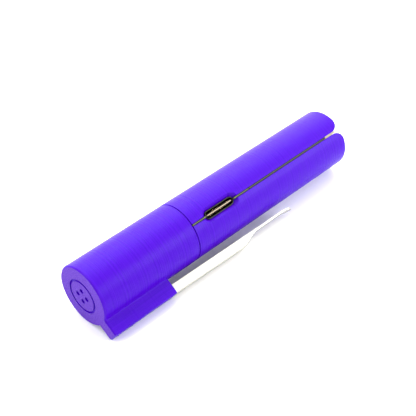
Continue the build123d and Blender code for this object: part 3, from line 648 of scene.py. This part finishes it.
FINISHES = (
    Finish(
        "bright_steel", (0.68, 0.665, 0.60), (0.48, 0.465, 0.41), (0.24, 0.42), 9000.0, 0.004,
        METAL, Pattern.BRUSHED,
    ),
    Finish("screw_steel", (0.55, 0.55, 0.56), (0.34, 0.34, 0.35), (0.25, 0.45), 6000.0, 0.004, METAL),
    # The receptacle's shell: nickel darkened almost to black, which paints the shade inside the port's mouth
    # into the metal's colour.
    Finish("port_nickel_painted_shade", (0.055, 0.056, 0.043), (0.025, 0.026, 0.020), (0.25, 0.45), 6000.0, 0.003, METAL),
    Finish(
        "tab_nickel", (0.60, 0.58, 0.53), (0.42, 0.40, 0.36), (0.25, 0.45), 7000.0, 0.003,
        METAL, Pattern.BRUSHED,
    ),
    Finish("contact_gold", (0.95, 0.68, 0.30), (0.80, 0.52, 0.20), (0.18, 0.34), 8000.0, 0.002, METAL),
    Finish("soft_liner", (0.38, 0.38, 0.36), (0.30, 0.30, 0.28), (0.45, 0.6), 3500.0, 0.006, gloss(0.35)),
    Finish(
        "ring_rubber", (0.035, 0.035, 0.037), (0.016, 0.016, 0.018), (0.5, 0.7), 5000.0, 0.006,
        gloss(0.4),
    ),
    Finish("nose_plastic", (0.30, 0.30, 0.32), (0.22, 0.22, 0.235), (0.3, 0.45), 3000.0, 0.004, gloss(0.4)),
    Finish(
        "nib_fibre", (0.16, 0.10, 0.55), (0.06, 0.03, 0.32), (0.8, 0.95), 7000.0, 0.03,
        gloss(0.2), Pattern.FIBRES,
    ),
    Finish(
        "filler_fibre", (0.55, 0.50, 0.80), (0.30, 0.24, 0.62), (0.75, 0.95), 4500.0, 0.03,
        gloss(0.2), Pattern.FIBRES,
    ),
    Finish(
        "milky_lens", (0.46, 0.39, 0.24), (0.38, 0.31, 0.185), (0.35, 0.5), 2500.0, 0.004,
        (
            ("Subsurface Weight", 0.35),
            ("Subsurface Scale", 1.5 * MM),
            ("Subsurface Radius", (1.0, 0.8, 0.5)),
        ),
    ),
    Finish(
        "chip_black", (0.022, 0.022, 0.024), (0.010, 0.010, 0.011), (0.5, 0.7), 7000.0, 0.005,
        gloss(0.4),
    ),
    Finish(
        "coil_ferrite", (0.10, 0.095, 0.09), (0.05, 0.047, 0.045), (0.6, 0.8), 9000.0, 0.03,
        gloss(0.3), Pattern.WOUND,
    ),
    Finish("small_ceramic", (0.46, 0.38, 0.28), (0.30, 0.24, 0.17), (0.4, 0.6), 6000.0, 0.004, gloss(0.5)),
    Finish("light_package", (0.86, 0.84, 0.72), (0.74, 0.70, 0.50), (0.3, 0.5), 5000.0, 0.004, gloss(0.5)),
    Finish("cell_foil", (0.66, 0.67, 0.69), (0.50, 0.51, 0.53), (0.28, 0.45), 1800.0, 0.02, METAL),
    Finish("pad_foam", (0.10, 0.10, 0.11), (0.05, 0.05, 0.055), (0.85, 0.98), 2500.0, 0.05, gloss(0.2)),
)


class Finishes:
    """Every finish of the pen, built once, by name."""

    def __init__(self) -> None:
        """Build the shared effects and each finish."""
        effects = Effects()
        every = (*FINISHES, PrintedFinish(), BOARD_FINISH, TONGUE_FINISH)
        self.by_name = {finish.name: finish.build(effects) for finish in every}

    def __getitem__(self, name: str) -> bpy.types.Material:
        """Return one finish."""
        return self.by_name[name]

    def dress(self, node: str, finish: str) -> None:
        """Give a CAD node its finish on its own material slots."""
        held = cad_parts[node]
        if not held.material_slots:
            held.data.materials.append(self.by_name[finish])
        for place in held.material_slots:
            place.material = self.by_name[finish]
        LOG.info("%s dressed in %s", node, finish)


# ---------------------------------------------------------------- sub-assemblies


@dataclass
class Housing:
    """The printed cap, collar and barrel halves, which keep their own meshes."""

    nodes: tuple[str, ...] = ("cap_shell", "collar", "barrel_back", "barrel_front")

    def build(self, finishes: Finishes) -> None:
        """Dress the printed pieces."""
        for node in self.nodes:
            finishes.dress(node, "printed_violet")


@dataclass
class PocketClip:
    """One folded strip: a flat tang in the rib, a channel, a narrow neck and a flared tip."""

    tang_start: float = 9.9 * MM
    rib_end: float = 18.1 * MM
    root: float = 18.3 * MM
    channel_end: float = 39.55 * MM
    shoulder_end: float = 45.95 * MM
    neck_end: float = 53.95 * MM
    tip: float = 57.95 * MM
    inner: float = 9.05 * MM
    rise: float = 0.4 * MM
    channel_outer: float = 11.25 * MM
    neck_outer: float = 10.0 * MM
    flare: float = 0.6 * MM
    tang_outer: float = 10.4 * MM
    width: float = 3.0 * MM
    tang_width: float = 2.4 * MM
    sheet: float = 0.5 * MM
    bend: float = 0.75 * MM
    tip_round: float = 1.6 * MM
    arc_steps: int = 8
    bend_share: float = 0.45
    least_bend: float = 0.06 * MM
    least_groove: float = 0.02 * MM
    hold: float = 0.02 * MM

    def outer_line(self, x: np.ndarray) -> np.ndarray:
        """Return how far the strip's outer face is from the pen's axis.

        Formula: a straight rise along the channel, a cosine fall over the shoulder, a level neck,
        and a flare that grows with the square of the distance; the tang lies level below it.
        """
        channel = self.channel_outer + self.rise * (x - self.root) / (self.channel_end - self.root)
        fall = np.clip((x - self.channel_end) / (self.shoulder_end - self.channel_end), 0.0, 1.0)
        top = self.channel_outer + self.rise
        shoulder = top + (self.neck_outer - top) * (1.0 - np.cos(math.pi * fall)) / 2.0
        flared = self.flare * np.clip((x - self.neck_end) / (self.tip - self.neck_end), 0.0, 1.0) ** 2
        arm = np.where(x < self.channel_end, channel, shoulder) + flared
        return np.where(x < self.root, self.tang_outer, arm)

    def depth_line(self, x: np.ndarray) -> np.ndarray:
        """Return how deep the folded section is: one sheet at the tang and tip, more between."""
        slope = np.clip((x - self.root) / (self.shoulder_end - self.root), 0.0, 1.0)
        inner = self.inner + self.rise * slope
        deep = np.maximum(self.outer_line(x) - inner, self.sheet)
        flat = np.clip((x - self.shoulder_end) / (1.0 * MM), 0.0, 1.0)
        deep = (1.0 - flat) * deep + flat * self.sheet
        return np.where(x < self.root, self.sheet, deep)

    def width_line(self, x: np.ndarray) -> np.ndarray:
        """Return the strip's width, rounded off at the tip as an ellipse."""
        near = np.clip((x - (self.tip - self.tip_round)) / self.tip_round, 0.0, 0.995)
        return np.where(x < self.root, self.tang_width, self.width * np.sqrt(1.0 - near**2))

    def section(self, width: float, depth: float) -> np.ndarray:
        """Return a folded section's outline: across the strip, and down from its outer face.

        Formula: the outer path runs up one leg, round a bend, across the back and down the other
        leg; the inner path comes back one sheet inside it.
        """
        half = width / 2.0
        bend = min(self.bend, self.bend_share * depth, self.bend_share * half)
        inside = max(bend - self.sheet, self.least_bend)
        sheet = min(self.sheet, self.bend_share * half)
        arc = np.linspace(0.0, QUARTER, self.arc_steps)
        outer_x = half - bend + bend * np.cos(arc)
        outer_y = bend - bend * np.sin(arc)
        inner_x = half - sheet - inside + inside * np.cos(arc)
        inner_y = np.minimum(self.sheet + inside - inside * np.sin(arc), depth - self.least_groove)
        outer = np.column_stack([np.r_[half, outer_x], np.r_[depth, outer_y]])
        inner = np.column_stack([np.r_[half - sheet, inner_x], np.r_[depth, inner_y]])
        mirror = np.array([-1.0, 1.0])
        return np.concatenate([outer, (outer * mirror)[::-1], inner * mirror, inner[::-1]])[::-1]

    def skin(self) -> Skin:
        """Carry the section along the strip."""
        places = np.concatenate([
            np.linspace(self.tang_start, self.rib_end + self.hold, 8),
            [self.root - self.hold, self.root],
            np.linspace(self.root + 0.15 * MM, self.channel_end, 30)[1:],
            np.linspace(self.channel_end, self.shoulder_end, 26)[1:],
            np.linspace(self.shoulder_end, self.neck_end, 14)[1:],
            np.linspace(self.neck_end, self.tip - self.tip_round, 12)[1:],
            self.tip - self.tip_round * (1.0 - np.sin(np.linspace(0.0, QUARTER, 14)[1:])),
        ])
        tangent = np.cross(ALONG, RIB)
        outer, depth, width = self.outer_line(places), self.depth_line(places), self.width_line(places)
        rings = []
        for place, high, deep, wide in zip(places, outer, depth, width):
            outline = self.section(float(wide), float(deep))
            rings.append(ALONG * place + outline[:, :1] * tangent + (high - outline[:, 1:]) * RIB)
        return grid_skin(np.stack(rings))

    def build(self, finishes: Finishes) -> None:
        """Make the strip in place of the CAD tang and arm."""
        strip = make_piece("clip_strip", self.skin(), finishes["bright_steel"])
        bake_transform(strip)
        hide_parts("clip_tang", "clip_arm")
        LOG.info("clip_strip: %d points", len(strip.data.vertices))


@dataclass
class ChargingPort:
    """The receptacle: a drawn shell with a rolled lip, a pale tongue and its contact strips."""

    centre: float = 37.35 * MM
    width: float = 8.94 * MM
    height: float = 2.0 * MM
    sheet: float = 0.2 * MM
    back: float = -0.45 * MM
    mouth: float = 6.85 * MM
    tongue_width: float = 7.8 * MM
    tongue_thickness: float = 0.66 * MM
    tongue_end: float = 6.75 * MM
    base: float = 1.4 * MM
    back_round: float = 0.25 * MM
    back_step: float = 0.07 * MM
    ear_rows: tuple[float, float] = (1.375 * MM, 3.2 * MM)
    ear_size: tuple[float, float, float] = (1.2 * MM, 1.0 * MM, 0.2 * MM)
    ear_from_end: float = 0.1 * MM
    ear_seat: float = 0.21 * MM
    ear_edge: float = 0.05 * MM
    ear_corner: float = 0.2 * MM
    outline_flat: float = 0.01 * MM
    foot_edge: float = 0.1 * MM
    tongue_edge: float = 0.14 * MM
    tongue_flat: float = 0.02 * MM
    contact_count: int = 12
    contact_pitch: float = 0.5 * MM
    contact_size: tuple[float, float, float] = (0.25 * MM, 3.6 * MM, 0.05 * MM)

    def axes(self) -> Axes:
        """Return axes that face out of the slot."""
        return Axes(ALONG * self.centre, ALONG, SIDE, SLOT)

    def shell_skin(self) -> Skin:
        """Return the shell.

        Formula: rings of the stadium outline go up the outside, round a lip of half a sheet's
        radius, down the inside and end on the floor one sheet above the back.
        """
        lip = self.sheet / 2.0
        arc = np.linspace(0.0, math.pi, 9)
        rings = [(self.back_round, self.back), (self.back_step, self.back + self.back_step)]
        rings += [(0.0, self.back + self.back_round)]
        rings += [(lip - lip * math.cos(a), self.mouth - lip + lip * math.sin(a)) for a in arc]
        rings += [(self.sheet, self.back + self.sheet)]
        corner = self.height / 2.0 - self.outline_flat
        walls = stacked(rings, self.width, self.height, corner, self.axes())
        ears = []
        for end in (-1.0, 1.0):
            for out in self.ear_rows:
                x = self.centre + end * (self.width / 2.0 + self.ear_from_end)
                place = board_axes(x, out, 1.0, self.ear_seat)
                ears.append(block(*self.ear_size, place, self.ear_edge, self.ear_corner))
        return Skin.joined([walls, *ears])

    def insert_skin(self) -> Skin:
        """Return the insert: a foot that fills the shell's floor, and the rounded tongue."""
        inner, top = self.sheet + self.outline_flat, self.back + self.base
        rings = [(0.0, self.back + inner), (0.0, top), (self.foot_edge, top + self.foot_edge)]
        corner = self.height / 2.0 - inner - self.outline_flat
        foot = stacked(rings, self.width - 2 * inner, self.height - 2 * inner, corner, self.axes())
        tall = self.tongue_end - self.back - inner
        rings = soft_rings(tall, self.tongue_edge, self.back + inner, 5)
        corner = self.tongue_thickness / 2.0 - self.tongue_flat
        tongue = stacked(rings, self.tongue_width, self.tongue_thickness, corner, self.axes())
        return Skin.joined([foot, tongue])

    def contact_skin(self) -> Skin:
        """Return both rows of contact strips."""
        wide, long, thick = self.contact_size
        strips = []
        for side in (1.0, -1.0):
            for index in range(self.contact_count):
                x = self.centre + (index - (self.contact_count - 1) / 2.0) * self.contact_pitch
                place = board_axes(x, self.tongue_end - long / 2.0 - wide, side, self.tongue_thickness / 2.0)
                strips.append(stacked(soft_rings(thick, 0.02 * MM, 0.0, 1), wide, long, 0.08 * MM, place))
        return Skin.joined(strips)

    def build(self, finishes: Finishes) -> None:
        """Make the receptacle's three pieces."""
        for name, skin, finish, node, slot in (
            ("port_rim", self.shell_skin(), "port_nickel_painted_shade", "port_shell", "port_steel"),
            ("port_tongue", self.insert_skin(), "port_insert", "port_insert", "port_insert"),
            ("port_strips", self.contact_skin(), "contact_gold", "port_contacts", "contact_gold"),
        ):
            fit_piece(name, skin, finishes[finish], Body.BARREL, [node])


@dataclass
class WritingEnd:
    """What the cap covers: the nose, the nib, the ink filler, its stopper, and the grip ring."""

    nose_tip: float = 7.0 * MM
    nose_tip_radius: float = 1.35 * MM
    collar_start: float = 15.9 * MM
    nose_base_radius: float = 3.9 * MM
    spigot_radius: float = 4.1 * MM
    spigot_end: float = 20.1 * MM
    ink_start: float = 16.65 * MM
    ink_end: float = 29.35 * MM
    ink_radius: float = 3.3 * MM
    nib_tip: float = 4.4 * MM
    nib_end: float = 22.65 * MM
    nib_radius: float = 0.8 * MM
    stopper_end: float = 30.6 * MM
    ring_place: float = 21.4 * MM
    ring_middle: float = 5.36 * MM
    ring_section: float = 0.5 * MM
    ring_steps: int = 16
    nose_steps: int = 28

    def nose_skin(self) -> Skin:
        """Return the nose.

        Formula: the outside follows a smooth cubic from the tip to the base with the same slope at
        both ends; the inside is the nib's bore and the filler's seat, joined in one closed profile.
        """
        t = np.linspace(0.0, 1.0, self.nose_steps)
        slope = (self.collar_start - self.nose_tip) / 3.0
        rise = self.nose_base_radius - self.nose_tip_radius
        hermite = (3 * t**2 - 2 * t**3) * rise + (t**3 - 2 * t**2 + t) * slope + (t**3 - t**2) * slope
        x = self.nose_tip + t * (self.collar_start - self.nose_tip)
        outside = list(zip(x[1:].tolist(), (self.nose_tip_radius + hermite[1:]).tolist()))
        bore, seat = self.nib_radius + PLAY, self.ink_radius + PLAY
        tip, radius = self.nose_tip, self.nose_tip_radius
        lip = [(tip + 0.12 * MM, bore), (tip, bore + 0.12 * MM)]
        lip += [(tip, radius - 0.15 * MM), (tip + 0.05 * MM, radius - 0.04 * MM)]
        spigot = [(self.collar_start, self.spigot_radius), (self.spigot_end, self.spigot_radius)]
        seat_line = [(self.spigot_end, seat), (self.ink_start - PLAY, seat), (self.ink_start - PLAY, bore)]
        return turned([*lip, *outside, *spigot, *seat_line], pen_axes(), closed_rows=True)

    def nib_skin(self) -> Skin:
        """Return the nib: a rounded point, a cone and a straight tail with a small back edge."""
        arc = np.linspace(0.0, QUARTER, 8)
        blunt = 0.35 * MM
        point = [(self.nib_tip + blunt * (1 - math.cos(a)), max(blunt * math.sin(a), POLE)) for a in arc]
        radius = self.nib_radius
        cone = [(self.nib_tip + 1.1 * MM, radius - 0.03 * MM), (self.nib_tip + 1.2 * MM, radius)]
        tail = [(self.nib_end - 0.1 * MM, radius), (self.nib_end, radius - 0.1 * MM)]
        return turned([*point, *cone, *tail], pen_axes(), 48)

    def filler_skin(self) -> Skin:
        """Return the filler: a bored bundle in a wrapped film with softly crimped ends."""
        bore, pocket = self.nib_radius + PLAY, self.nib_end + PLAY
        crimp = ((0.0, 0.5 * MM), (0.12 * MM, 0.15 * MM), (0.4 * MM, 0.0))
        front = [(self.ink_start + back, self.ink_radius - drop) for back, drop in crimp]
        rear = [(self.ink_end - back, self.ink_radius - drop) for back, drop in reversed(crimp)]
        hole = [(pocket, POLE), (pocket, bore), (self.ink_start, bore)]
        return turned([*hole, *front, *rear], pen_axes(), 72)

    def stopper_skin(self) -> Skin:
        """Return the stopper: a short plug with a dished back and soft edges."""
        start, end, edge, radius = self.stopper_end - 1.2 * MM, self.stopper_end, 0.15 * MM, self.ink_radius
        profile = [
            (start, radius - edge), (start + edge, radius), (end - edge, radius),
            (end, radius - edge), (end, radius - 0.8 * MM), (end - 0.3 * MM, radius - 1.1 * MM),
        ]
        return turned(profile, pen_axes(), 72)

    def ring_skin(self) -> Skin:
        """Return the grip ring: a circle of the section's radius carried round the pen."""
        around = np.linspace(0.0, TURN, self.ring_steps, endpoint=False)
        size = self.ring_section
        section = [(-size * math.cos(a), self.ring_middle + size * math.sin(a)) for a in around]
        return turned(section, pen_axes(self.ring_place), closed_rows=True)

    def build(self, finishes: Finishes) -> None:
        """Make the writing end's pieces."""
        rows: tuple[tuple[str, Callable[[], Skin], str, str], ...] = (
            ("nose_cone_turned", self.nose_skin, "nose_plastic", "nose_cone"),
            ("nib_point", self.nib_skin, "nib_fibre", "nib"),
            ("ink_bundle", self.filler_skin, "filler_fibre", "ink_filler"),
            ("ink_plug", self.stopper_skin, "nose_plastic", "ink_stopper"),
            ("grip_ring_round", self.ring_skin, "ring_rubber", "grip_ring"),
        )
        for name, shape, finish, node in rows:
            fit_piece(name, shape(), finishes[finish], Body.BARREL, [node])
        finishes.dress("cap_liner", "soft_liner")


@dataclass
class ShellScrews:
    """The three screws that clamp the barrel: domed heads with a cross recess, and threads."""

    places: tuple[float, ...] = (33.65 * MM, 52.5 * MM, 71.35 * MM)
    row: float = -4.5 * MM
    seat: float = 3.45 * MM
    radius: float = 0.8 * MM
    length: float = 6.0 * MM
    head_radius: float = 1.45 * MM
    head_height: float = 0.9 * MM
    cross_half: float = 0.19 * MM
    cross_reach: float = 0.8 * MM
    cross_depth: float = 0.45 * MM
    pitch: float = 0.35 * MM
    thread_depth: float = 0.22 * MM
    point_length: float = 0.5 * MM
    rim_round: float = 0.05 * MM
    rim_height: float = 0.06 * MM
    cross_edge: float = 0.06 * MM
    cross_end: float = 0.12 * MM
    dome_foot: float = 0.55
    dome_rise: float = 0.45

    def head_skin(self, axes: Axes) -> Skin:
        """Return one head.

        Formula: rings go out along the seat, up the rim and in over a dome; inside its reach the
        dome is sunk where either cross coordinate is under half the recess's width, softly.
        """
        turn = np.linspace(0.0, TURN, 96, endpoint=False)
        rim = [(self.radius * 0.5, 0.0), (self.head_radius - self.rim_round, 0.0)]
        rim += [(self.head_radius, self.rim_height)]
        inward = np.linspace(1.0, 0.03, 30)
        falls = [math.sqrt(1.0 - 0.98 * share**4) for share in inward]
        rise = [self.dome_foot + self.dome_rise * fall for fall in falls]
        dome = [(self.head_radius * share, self.head_height * up) for share, up in zip(inward, rise)]
        line = np.array([*rim, *dome])
        x = line[:, 0, None] * np.cos(turn)
        y = line[:, 0, None] * np.sin(turn)
        z = np.broadcast_to(line[:, 1, None], x.shape).copy()
        narrow = np.minimum(np.abs(x), np.abs(y))
        sunk = np.clip((self.cross_half - narrow) / self.cross_edge + 0.5, 0.0, 1.0)
        within = np.clip((self.cross_reach - np.hypot(x, y)) / self.cross_end + 0.5, 0.0, 1.0)
        on_top = np.arange(len(line))[:, None] >= len(rim) + 4
        z -= self.cross_depth * sunk * within * on_top
        return grid_skin(axes.place(np.stack([x, y, z], axis=-1)))

    def shank_skin(self, axes: Axes) -> Skin:
        """Return one threaded shank.

        Formula: the radius is the core's plus a triangle wave of depth plus turn over one pitch,
        so that the ridge winds round; the last pitch tapers to a blunt point.
        """
        turn = np.linspace(0.0, TURN, 28, endpoint=False)[None, :]
        down = np.linspace(0.0, 1.0, 110)[:, None] * self.length
        phase = (down / self.pitch + turn / TURN) % 1.0
        ridge = self.thread_depth * (np.abs(phase - 0.5) * 2.0 - 1.0)
        taper = np.clip((self.length - down) / self.point_length, 0.25, 1.0)
        reach = (self.radius + ridge) * taper
        return grid_skin(axes.place(ring_points(reach, turn, -down)[::-1]))

    def build(self, finishes: Finishes) -> None:
        """Make the three screws as one piece."""
        skins = []
        for place in self.places:
            axes = board_axes(place, self.row, 1.0, self.seat)
            skins += [self.head_skin(axes), self.shank_skin(axes)]
        joined = Skin.joined(skins)
        steel = "screw_steel"
        fit_piece("shell_screws_cut", joined, finishes[steel], Body.BARREL, ["shell_screws"])


@dataclass
class PowerButton:
    """The round button: its top follows the barrel, with a dished middle and a soft rim."""

    x: float = 61.925 * MM
    out: float = -2.4 * MM
    radius: float = 1.75 * MM
    base: float = 2.3 * MM
    inset: float = 0.15 * MM
    flange: float = 0.5 * MM
    lip: float = 0.5 * MM
    dish: float = 0.14 * MM
    dish_share: float = 0.72
    rim: float = 0.2 * MM
    foot_edge: float = 0.08 * MM
    count: int = 72

    def skin(self) -> Skin:
        """Return the button.

        Formula: the top's height is that of a cylinder a little inside the barrel over each point,
        less a round dish in the middle and a quarter-round fall at the rim.
        """
        axes = board_axes(self.x, self.out, 1.0, self.base)
        turn = np.linspace(0.0, TURN, self.count, endpoint=False)[None, :]
        spread = np.linspace(1.0, 0.02, 22)[:, None] * self.radius
        reach = self.out - spread * np.sin(turn)
        top = np.sqrt((PEN_RADIUS - self.inset) ** 2 - reach**2) - self.base
        top = top - self.dish * np.clip(1.0 - (spread / (self.dish_share * self.radius)) ** 2, 0.0, 1.0)
        fall = np.clip((spread - self.radius + self.rim) / self.rim, 0.0, 1.0)
        top = top - self.rim * (1.0 - np.sqrt(1.0 - 0.97 * fall**2))
        wide, edge = self.radius + self.lip, self.foot_edge
        feet = [(wide - edge, 0.0), (wide, edge), (wide, self.flange - edge)]
        feet += [(wide - edge, self.flange), (self.radius, self.flange)]
        line = np.array(feet)
        foot = ring_points(line[:, 0, None], turn, line[:, 1, None])
        return grid_skin(axes.place(np.concatenate([foot, ring_points(spread, turn, top)])))

    def build(self, finishes: Finishes) -> None:
        """Make the button and dress the switch below it."""
        violet = finishes["printed_violet"]
        fit_piece("power_button_cap", self.skin(), violet, Body.BUTTON, ["power_button"])
        finishes.dress("switch_body", "chip_black")
        finishes.dress("switch_actuator", "chip_black")


@dataclass
class Electronics:
    """The board with what stands on it, and the tail lens, in their own finishes."""

    rows: tuple[tuple[str, str], ...] = (
        ("circuit_board", "board_laminate"),
        ("charger_chip", "chip_black"),
        ("driver_chip", "chip_black"),
        ("power_coil", "coil_ferrite"),
        ("small_parts", "small_ceramic"),
        ("tail_light", "light_package"),
        ("tail_lens", "milky_lens"),
        ("battery_cell", "cell_foil"),
        ("cell_pad", "pad_foam"),
        ("cell_tabs", "tab_nickel"),
    )

    def build(self, finishes: Finishes) -> None:
        """Dress each piece."""
        for node, finish in self.rows:
            finishes.dress(node, finish)


# ---------------------------------------------------------------- studio


@dataclass
class SoftLight:
    """One soft panel lamp that faces a point."""

    name: str
    place: tuple[float, float, float]
    size: float
    power: float
    tint: Colour = (1.0, 1.0, 1.0)

    def build(self, aim: Vector) -> None:
        """Make the lamp and turn it to the aim."""
        lamp = bpy.data.lights.new(self.name, "AREA")
        lamp.shape = "DISK"
        lamp.size = self.size
        lamp.energy = self.power
        lamp.color = self.tint
        held = bpy.data.objects.new(self.name, lamp)
        held.location = self.place
        held.rotation_mode = "QUATERNION"
        held.rotation_quaternion = (aim - Vector(self.place)).to_track_quat("-Z", "Y")
        bpy.context.scene.collection.objects.link(held)


@dataclass
class Studio:
    """A pale table, soft lamps and the camera."""

    camera_place: tuple[float, float, float] = (-0.0820, -0.1211, 0.1485)
    camera_aim: tuple[float, float, float] = (0.0396, 0.0014, 0.0)
    camera_roll: float = math.radians(-0.34)
    lens: float = 82.88
    sensor: float = 36.0
    table_half: float = 1.5
    table_tone: Colour = (0.93, 0.93, 0.93)
    sky_dim: float = 0.75
    sky_bright: float = 3.0
    sky_edge: tuple[float, float] = (0.35, 0.80)
    sky_side: Colour = (0.45, 0.65, 0.61)
    lamps: tuple[SoftLight, ...] = (
        SoftLight("key_panel", (0.34, 0.34, 0.52), 0.60, 2.0),
        SoftLight("right_panel", (0.28, -0.26, 0.16), 0.20, 1.3),
        SoftLight("left_panel", (-0.45, 0.20, 0.30), 0.35, 1.7),
    )

    def table(self) -> None:
        """Make the plain table top that the pen lies on."""
        half = self.table_half
        corners = [(-half, -half), (half, -half), (half, half), (-half, half)]
        mesh = bpy.data.meshes.new("table_top")
        mesh.from_pydata([(x, y, TABLE_HEIGHT) for x, y in corners], [], [(0, 1, 2, 3)])
        canvas = Canvas("table_white")
        tone = canvas.wiring.noise(canvas.place, 6.0, 1.0)
        paler = tuple(min(part * 1.01, 1.0) for part in self.table_tone)
        mixed = canvas.wiring.blend(tone, self.table_tone, paler)
        canvas.wiring.feed(canvas.shader.inputs["Base Color"], mixed)
        canvas.constants({"Roughness": 0.9, "Specular IOR Level": 0.1})
        mesh.materials.append(canvas.material)
        top = bpy.data.objects.new("table_top", mesh)
        bpy.context.scene.collection.objects.link(top)

    def world(self) -> None:
        """Fill the room with white light that grows softly towards the lamps' side."""
        world = bpy.data.worlds.new("studio_room")
        world.use_nodes = True
        room = world.node_tree.nodes["Background"]
        room.inputs["Color"].default_value = (1.0, 1.0, 1.0, 1.0)
        wiring = Wiring(world.node_tree)
        gaze = wiring.add("ShaderNodeTexCoord", {}).outputs["Generated"]
        towards = wiring.spread(wiring.along(gaze, np.array(self.sky_side)), *self.sky_edge)
        wiring.feed(room.inputs["Strength"], wiring.between(towards, self.sky_dim, self.sky_bright))
        bpy.context.scene.world = world

    def camera(self) -> None:
        """Set up the camera."""
        lens = bpy.data.cameras.new("studio_camera")
        lens.sensor_width = self.sensor
        lens.lens = self.lens
        lens.clip_start = 0.01
        held = bpy.data.objects.new("studio_camera", lens)
        held.location = self.camera_place
        gaze = (Vector(self.camera_aim) - Vector(self.camera_place)).to_track_quat("-Z", "Y")
        held.rotation_mode = "QUATERNION"
        held.rotation_quaternion = gaze @ Quaternion((0.0, 0.0, 1.0), self.camera_roll)
        bpy.context.scene.collection.objects.link(held)
        bpy.context.scene.camera = held

    def build(self) -> None:
        """Make the table, the light and the camera."""
        self.table()
        self.world()
        for lamp in self.lamps:
            lamp.build(Vector(self.camera_aim))
        self.camera()
        bpy.context.scene.view_settings.view_transform = "Standard"
        bpy.context.scene.view_settings.look = "None"


def write_sizes() -> None:
    """Define a helper that turns a box into lists of numbers; nothing is written."""
    def plain(box: Sequence[Sequence[float]]) -> list[list[float]]:
        """Return a box as lists of numbers."""
        return [[float(part) for part in corner] for corner in box]


def main() -> None:
    """Build the pen and its studio, in order."""
    logging.basicConfig(level=logging.INFO)
    finishes = Finishes()
    order = (Housing, PocketClip, ChargingPort, WritingEnd, ShellScrews, PowerButton, Electronics)
    for assembly in order:
        assembly().build(finishes)
        LOG.info("%s done", assembly.__name__)
    Studio().build()
    write_sizes()


if __name__ == "__main__":
    main()
